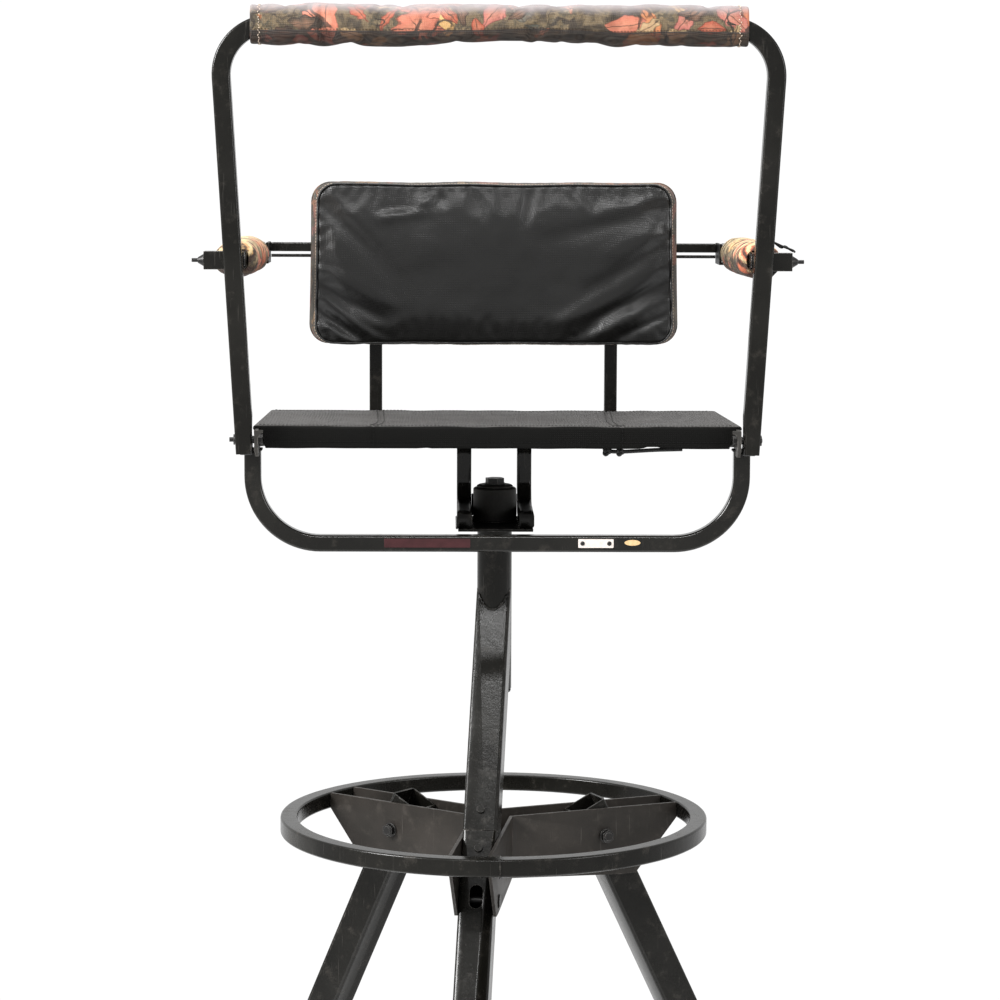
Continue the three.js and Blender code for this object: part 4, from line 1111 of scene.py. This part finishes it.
# ------------------------------------------------------------------ armrest pads: gathered padded sleeves
def arm_pad(side):
    s = -1 if side == "left" else 1
    y0, y1, zc_ = 98.0, -168.0, 628.0
    sta, K = 84, 40
    seq = []
    folds = []

    def prof(t):
        """Fullness along the pad, from a drawn-in end to full."""
        e, span = (t * (y0 - y1), 46.0) if t < 0.5 else ((1 - t) * (y0 - y1), 9.0)
        return (max(0.0, e) / span) ** 0.5 if e < span else 1.0

    for i in range(sta + 1):
        t = i / sta
        y = y0 + (y1 - y0) * t
        f = prof(t)
        ring_ = []
        for k in range(K):
            a = 2 * math.pi * k / K
            c_, s_ = math.cos(a), math.sin(a)
            n_ = 2.35
            m_ = (abs(c_) ** n_ + abs(s_) ** n_) ** (-1 / n_)
            hx = 11.5 + (22.2 - 11.5) * f
            hz = 11.5 + (17.6 - 11.5) * f
            x, z = hx * c_ * m_, hz * s_ * m_
            # diagonal gathers
            w = y * 0.20 + a * 1.0 * s + 1.8 * noise.noise(Vector((y * 0.014, c_, s_ + s * 4)))
            g = 2.3 * (abs(math.sin(w)) ** 0.55 - 0.75) * (0.4 + 0.6 * f)
            g += 0.9 * noise.noise(Vector((y * 0.03, c_ * 1.3, s_ * 1.3 + s * 9)))
            if t < 0.12:
                g += 0.9 * math.sin(a * 11 + 2 * s) * (1 - t / 0.12) * 0.7
            # the front end is drawn in, with gathers that spiral into the mouth
            en = max(0.0, min(1.0, 1.25 - (1 - t) / 0.085))
            fr = abs(math.sin(a * 3.5 * s + 55 * (1 - t) + 1.2 * noise.noise(Vector((c_, s_, s * 3)))))
            g = g * (1 - en) + en * 1.9 * (fr ** 0.7 - 0.62) * (0.35 + 0.65 * f)
            x += c_ * g
            z += s_ * g
            x = max(-23.6, min(23.6, x))
            z = max(-19.4, min(19.4, z))
            # painted light: high on gather crests and towards the top, low in troughs and on the underside, read by the
            # print as painted highlight and shade
            fold_light = abs(math.sin(w)) ** 1.25 * (1 - en) + en * max(0.0, min(1.0, (fr - 0.24) / 0.60))
            folds.append(min(1.0, max(0.0, fold_light * (0.86 + 0.34 * s_) - 0.30 * max(0.0, -s_ - 0.25))))
            ring_.append(P(s * (274 + 2.2 * f) + x, y, zc_ + z))
        seq.append(ring_)

    def hole(y, h=10.2):
        o = []
        for k in range(K):
            a = 2 * math.pi * k / K
            c_, s_ = math.cos(a), math.sin(a)
            m_ = (abs(c_) ** 6 + abs(s_) ** 6) ** (-1 / 6)
            o.append(P(s * 274 + h * c_ * m_, y, zc_ + h * s_ * m_))
        return o

    seq = [hole(y0 - 20), hole(y0 - 0.4)] + seq + [hole(y1 + 0.4), hole(y1 + 20)]
    verts, faces = [], []
    for r_ in seq:
        verts += r_
    R = len(seq)
    for q in range(R):
        t = (q + 1) % R
        for i in range(K):
            j = (i + 1) % K
            faces.append((q * K + i, q * K + j, t * K + j, t * K + i))
    ob = make("armrest_pad_cloth_" + side, verts, faces, CAMOA)
    at = ob.data.attributes.new("fold", "FLOAT", "POINT")
    at.data.foreach_set("value", [0.5] * (2 * K) + folds + [0.5] * (2 * K))
    settle(ob, "armrest_" + side, "camo_fabric", "armrest_pad_" + side)
    pins = {q * K + k: 1.0 for q in list(range(0, 4)) + list(range(R - 4, R)) for k in range(K)}
    cloth_run(ob, pins, pressure=3.5, frames=14, shrink=-0.03, cap=0.0018, bend=1.0, stiff=14)
    subdivide(ob)
    # seam along the underside
    md = ob.data
    pts = [md.vertices[q * K + (3 * K // 4)].co.copy() for q in range(5, R - 5)]
    stitches("armrest_pad_seam_" + side, pts, [Vector((0, 0, -1))] * len(pts), THREADT, "armrest_" + side, "camo_fabric", 3.4, 2.5, 0.33, 0.15)
    return ob


# the arm pads' print takes painted light and shade from their fold attribute
CAMOA = camo("leaf_print_arms", bright=0.74, fold=True)
arm_pad("left")
arm_pad("right")


# ------------------------------------------------------------------ backrest cushion: coated front, camo boxing, piped seams
def backrest():
    X, Z0, Z1, YF, YR = 212.0, 521.8, 707.8, 97.8, 141.8
    zc_, hz = (Z0 + Z1) / 2, (Z1 - Z0) / 2 - 1.2
    hx = X - 0.4
    rc = 22.0
    nx, nz = 92, 42
    verts, faces, mats, seam = [], [], [], []

    def outline(u, v):
        """Unit square to a rounded, slightly pear-shaped rectangle."""
        x, z = u * hx, v * hz
        ax, az = abs(x) - (hx - rc), abs(z) - (hz - rc)
        if ax > 0 and az > 0:
            L = max(ax, az)
            q = Vector((ax, az))
            q = q / q.length * L
            x = math.copysign(hx - rc + q.x, x)
            z = math.copysign(hz - rc + q.y, z)
        x *= 0.985 + 0.015 * (1 - (z / hz + 1) / 2) if z > -hz else 1
        # sides bow in a touch between the corners
        x -= math.copysign(0.7 * (1 - (z / hz) ** 2), x) * (abs(u) ** 3)
        z -= math.copysign((1.5 + 0.6 * math.sin(x * 0.05)) * (1 - (x / hx) ** 2), z) * (abs(v) ** 3) * (1.0 if z > 0 else 0.5)
        return x, z

    def grid(y, front):
        ids = {}
        for j in range(nz + 1):
            for i in range(nx + 1):
                u, v = -1 + 2 * i / nx, -1 + 2 * j / nz
                x, z = outline(u, v)
                if front:
                    x *= 1 - 7.6 / 212
                    z *= 1 - 1.3 / 93
                edge = min(1 - abs(u) ** 1.0, 1 - abs(v) ** 1.0)
                dome = (1 - abs(u) ** 5) ** 0.6 * (1 - abs(v) ** 3.2) ** 0.6
                off = (-1 if front else 1) * (2.6 if front else 1.4) * dome
                if front:
                    # slack folds that run from the corners and the sides to the middle
                    def fold(x0, z0, x1, z1, w_, a_):
                        d = Vector((x1 - x0, z1 - z0))
                        L_ = d.length
                        d.normalize()
                        p_ = Vector((x - x0, z - z0))
                        t_ = p_.dot(d) / L_
                        if t_ < -0.05 or t_ > 1.05:
                            return 0.0
                        sd = d.x * p_.y - d.y * p_.x + 4 * noise.noise(Vector((x * 0.012, z * 0.02, w_)))
                        taper = math.sin(math.pi * min(1, max(0, t_ * 0.9 + 0.08))) ** 0.7
                        return 1.45 * a_ * taper * math.exp(-(sd / w_) ** 2)
                    # negative is towards the viewer, positive a hollow
                    off += fold(-206, -20, -118, -66, 7, 3.2) + fold(-206, -34, -128, -84, 5, -3.0) + fold(-206, -48, -140, -92, 5, 3.0)
                    off += fold(-207, 0, -110, -52, 6, -2.6) + fold(-204, -66, -150, -92, 5, -2.4)
                    off += fold(206, 4, 62, -72, 8, -3.4) + fold(206, -14, 82, -84, 7, 3.4) + fold(206, -36, 108, -84, 7, -3.2)
                    off += fold(206, -54, 128, -92, 5, 2.6) + fold(206, 30, 100, -34, 8, 2.6) + fold(206, 46, 122, 6, 9, -2.2)
                    off += fold(206, 66, 40, 22, 12, 2.4) + fold(200, 80, 90, 44, 8, -1.8)
                    off += fold(-206, 84, -96, -34, 11, 2.8) + fold(-196, 88, -130, 20, 9, -1.6)
                    off += fold(-138, 64, -62, 62, 5, 2.2) + fold(-132, 50, -60, 64, 5, -2.2) + fold(-92, 60, -58, 88, 5, -1.5)
                    off += fold(-70, 88, -50, 64, 5, 1.6) + fold(-30, 88, -12, 60, 6, 1.2) + fold(46, 88, 30, 56, 6, 1.2) + fold(82, 88, 110, 60, 6, -1.2)
                    off += 1.7 * noise.noise(Vector((x * 0.013, z * 0.020, 1.3))) * dome + 0.7 * noise.noise(Vector((x * 0.035, z * 0.05, 4.3))) * dome
                    near = math.exp(-((1 - abs(v)) * hz / 9.0) ** 2)
                    off += near * 0.8 * math.sin(x * 0.42 + 3 * noise.noise(Vector((x * 0.02, v, 2)))) * (1 if v > 0 else 0.5)
                    nears = math.exp(-((1 - abs(u)) * hx / 9.0) ** 2)
                    off += nears * 0.7 * math.sin(z * 0.38 + 2)
                ids[i, j] = len(verts)
                yy = y + off
                if front:
                    yy = max(yy, YF + 0.4)
                else:
                    yy = min(yy, YR - 0.2)
                verts.append(P(x, yy, zc_ + z))
        for j in range(nz):
            for i in range(nx):
                f = (ids[i, j], ids[i + 1, j], ids[i + 1, j + 1], ids[i, j + 1])
                faces.append(f if front else f[::-1])
                mats.append(0 if front else 1)
        loop = [(i, 0) for i in range(nx)] + [(nx, j) for j in range(nz)] + [(i, nz) for i in range(nx, 0, -1)] + [(0, j) for j in range(nz, 0, -1)]
        return [ids[k] for k in loop]

    yf, yr = YF + 7.2, YR - 3.0
    lf = grid(yf, True)
    lr = grid(yr, False)
    seam.append([Vector(verts[k]) for k in lf])
    seam.append([Vector(verts[k]) for k in lr])
    prev = lf
    steps = 7
    L = len(lf)
    for st in range(1, steps + 1):
        f = st / steps
        if st < steps:
            cur = []
            for k in range(L):
                a, b = verts[lf[k]], verts[lr[k]]
                p_ = a.lerp(b, f)
                c_ = Vector((MX, p_.y, RT + zc_ / 1000))
                rad = (p_ - c_)
                u = rad.normalized()
                bulge = 1.6 * math.sin(math.pi * f) ** 0.7 + 0.5 * noise.noise(p_ * 30)
                p_ = p_ + u * bulge / 1000
                cur.append(len(verts))
                verts.append(p_)
        else:
            cur = lr
        for k in range(L):
            k2 = (k + 1) % L
            faces.append((prev[k2], prev[k], cur[k], cur[k2]))
            mats.append(2)
        prev = cur
    me_ = bpy.data.meshes.new("backrest_cloth")
    me_.from_pydata([tuple(v) for v in verts], [], faces)
    me_.polygons.foreach_set("use_smooth", [True] * len(me_.polygons))
    me_.polygons.foreach_set("material_index", mats)
    ob = bpy.data.objects.new("backrest_cloth", me_)
    sc.collection.objects.link(ob)
    for m_ in (BLACKC, BLACKC, CAMOB):
        me_.materials.append(m_)
    # the two seam edges stay creased
    pins = {k: 1.0 for k in lf + lr}
    rear_ids = range(len(lf), 0)
    n_front = (nx + 1) * (nz + 1)
    for k in range(n_front, 2 * n_front):
        pins[k] = 1.0
    settle(ob, "seat", "black_fabric", "backrest_cushion")
    cloth_run(ob, pins, pressure=4.0, frames=18, shrink=-0.012, cap=0.0040, bend=1.2, stiff=18)
    box_lo, box_hi = P(-X, YF, Z0), P(X, YR, Z1)
    for v in me_.vertices:
        v.co.x = max(box_lo.x - 0.001, min(box_hi.x + 0.001, v.co.x))
        v.co.y = max(box_lo.y - 0.001, min(box_hi.y - 0.0001, v.co.y))
        v.co.z = max(box_lo.z - 0.001, min(box_hi.z + 0.001, v.co.z))
    subdivide(ob)
    return ob, lf, lr, L


CAMOB = camo("leaf_print_back", bright=0.19)
back, lf, lr, BL = backrest()
bm_ = back.data
for nm, loop_, dy, mat_ in (("front", lf, -0.0002, BLACKC), ("rear", lr, 0.0002, CAMOB)):
    pts = [bm_.vertices[k].co.copy() for k in loop_]
    cen = sum(pts, Vector()) / len(pts)
    pts = [p + Vector(((p - cen).x, 0, (p - cen).z)).normalized() * 0.0002 + Vector((0, dy, 0)) for p in pts]
    rod_curve("backrest_piping_" + nm, pts, 0.0012, mat_, "seat", "black_fabric" if nm == "front" else "camo_fabric", cyclic=True)
    if nm == "front":
        out = [p + (p - cen).normalized() * 0.0015 + Vector((0, 0.0004, 0)) for p in pts]
        out.append(out[0])
        stitches("backrest_seam_stitch", out, [Vector(((p - cen).x, -0.15, (p - cen).z)) for p in out], THREADT, "seat", "camo_fabric", 3.6, 2.4, 0.28, 0.05)

# ------------------------------------------------------------------ the loose lace under the seat
LACE = [(195, -186.6, 430.2), (187, -187.4, 430.1), (178, -187.9, 429.9), (168, -188.2, 429.6), (158, -188.3, 429.1), (148, -188.3, 428.5),
        (140, -188.2, 428.0), (133, -188, 427.7), (126, -187.6, 427.6), (119, -187, 427.9), (113, -186, 429.0)]
lace_pts = spline_points([P(*p) for p in LACE], 5)
lace = rod_curve("lace_cord", lace_pts, 0.0021, LACEM, "seat", "cord_fabric", "seat_lace")


def knot(name, c, size):
    """A small overhand knot, drawn as three tight turns."""
    pts = []
    for i in range(40):
        t = i / 40 * 2 * math.pi
        pts.append(c + Vector((math.cos(t) + 2 * math.cos(2 * t), math.sin(3 * t) * 1.1, math.sin(t) - 2 * math.sin(2 * t))) * size / 3)
    return rod_curve(name, pts, 0.0017, LACEM, "seat", "cord_fabric", cyclic=True)


k1 = knot("lace_knot_end", P(115.5, -186.4, 428.0), 0.0042)
k2 = knot("lace_knot_second", P(129.5, -187.8, 427.4), 0.0036)


# ------------------------------------------------------------------ plain plates on the hoop where the real ones carry words
def plate(name, x0, x1, z0, z1, mat, oval=False, rivets=False):
    y = -185.5 - 8.75
    verts, faces = [], []
    n = 20
    if oval:
        ring_ = [((x0 + x1) / 2 + (x1 - x0) / 2 * math.cos(2 * math.pi * k / n), (z0 + z1) / 2 + (z1 - z0) / 2 * math.sin(2 * math.pi * k / n)) for k in range(n)]
    else:
        ring_ = [(u + (x0 + x1) / 2, v + (z0 + z1) / 2) for u, v in round_points(x1 - x0, z1 - z0, 1.0, 4)]
    n = len(ring_)
    cx_, cz_ = (x0 + x1) / 2, (z0 + z1) / 2
    for d, f in ((0.25, 1.0), (-0.35, 1.0), (-0.5, 0.985)):
        for x, z in ring_:
            verts.append(P(cx_ + (x - cx_) * (f if not oval else f), y + d, cz_ + (z - cz_) * f))
    for t in range(2):
        for i in range(n):
            j = (i + 1) % n
            faces.append((t * n + i, t * n + j, (t + 1) * n + j, (t + 1) * n + i))
    faces += [tuple(range(n)), tuple(2 * n + i for i in range(n))]
    settle(make(name, verts, faces, mat, smooth=False), "seat", "black_plastic")
    if rivets:
        for q, x in enumerate((x0 + 4.6, x1 - 4.6)):
            bm = bmesh.new()
            bmesh.ops.create_uvsphere(bm, u_segments=16, v_segments=8, radius=0.0024)
            bmesh.ops.scale(bm, vec=(1, 0.45, 1), verts=bm.verts)
            bmesh.ops.translate(bm, vec=P(x, y - 0.5, (z0 + z1) / 2), verts=bm.verts)
            me2 = bpy.data.meshes.new(name + "_rivet_%d" % q)
            bm.to_mesh(me2)
            bm.free()
            me2.polygons.foreach_set("use_smooth", [True] * len(me2.polygons))
            ob = bpy.data.objects.new(me2.name, me2)
            sc.collection.objects.link(ob)
            me2.materials.append(HARD)
            settle(ob, "seat", "hardware")


plate("hoop_strip", -119.5, -28.5, 326.0, 335.6, LABELR)
plate("hoop_plate", 85.5, 123, 326.0, 335.4, LABELW, rivets=True)
plate("hoop_oval", 134.4, 151.4, 328.4, 334.6, LABELT, oval=True)

# ------------------------------------------------------------------ stage and light
bpy.ops.mesh.primitive_circle_add(vertices=128, radius=2.6, fill_type="NGON", location=(0, 0, min(cad_box[0][2], 0) - 0.0005))
floor = bpy.context.object
floor.name = "studio_floor"
fm = Mat("studio_floor")
fm.set(Base_Color=fm.mix(fm.noise(3, 3).outputs["Fac"], (0.93, 0.93, 0.93), (0.97, 0.97, 0.97)), Roughness=fm.math("ADD", 0.7, fm.math("MULTIPLY", fm.noise(8).outputs["Fac"], 0.2)))
floor.data.materials.append(fm.m)

world = bpy.data.worlds.new("studio")
sc.world = world
world.use_nodes = True
bg = world.node_tree.nodes["Background"]
bg.inputs["Color"].default_value = (1, 1, 1, 1)
bg.inputs["Strength"].default_value = 0.86


def area(name, loc, at, size, watts, color=(1, 1, 1)):
    d = bpy.data.lights.new(name, "AREA")
    d.shape = "RECTANGLE"
    d.size, d.size_y = size
    d.energy = watts
    d.color = color
    o = bpy.data.objects.new(name, d)
    sc.collection.objects.link(o)
    o.location = loc
    o.rotation_euler = (Vector(at) - Vector(loc)).to_track_quat("-Z", "Y").to_euler()
    return o


area("key", (-2.5, -1.1, 3.0), (0, 0, 1.55), (1.0, 1.4), 165)
area("fill", (3.0, -2.2, 2.6), (0, 0, 1.4), (1.6, 1.6), 55)
area("top", (0.2, 0.9, 4.3), (0, 0, 1.2), (2.2, 1.6), 62)
area("strip", (-0.25, -2.3, 3.9), (0, 0, 1.5), (1.5, 0.20), 42)
sc.view_settings.view_transform = "Standard"
sc.view_settings.look = "Medium High Contrast"
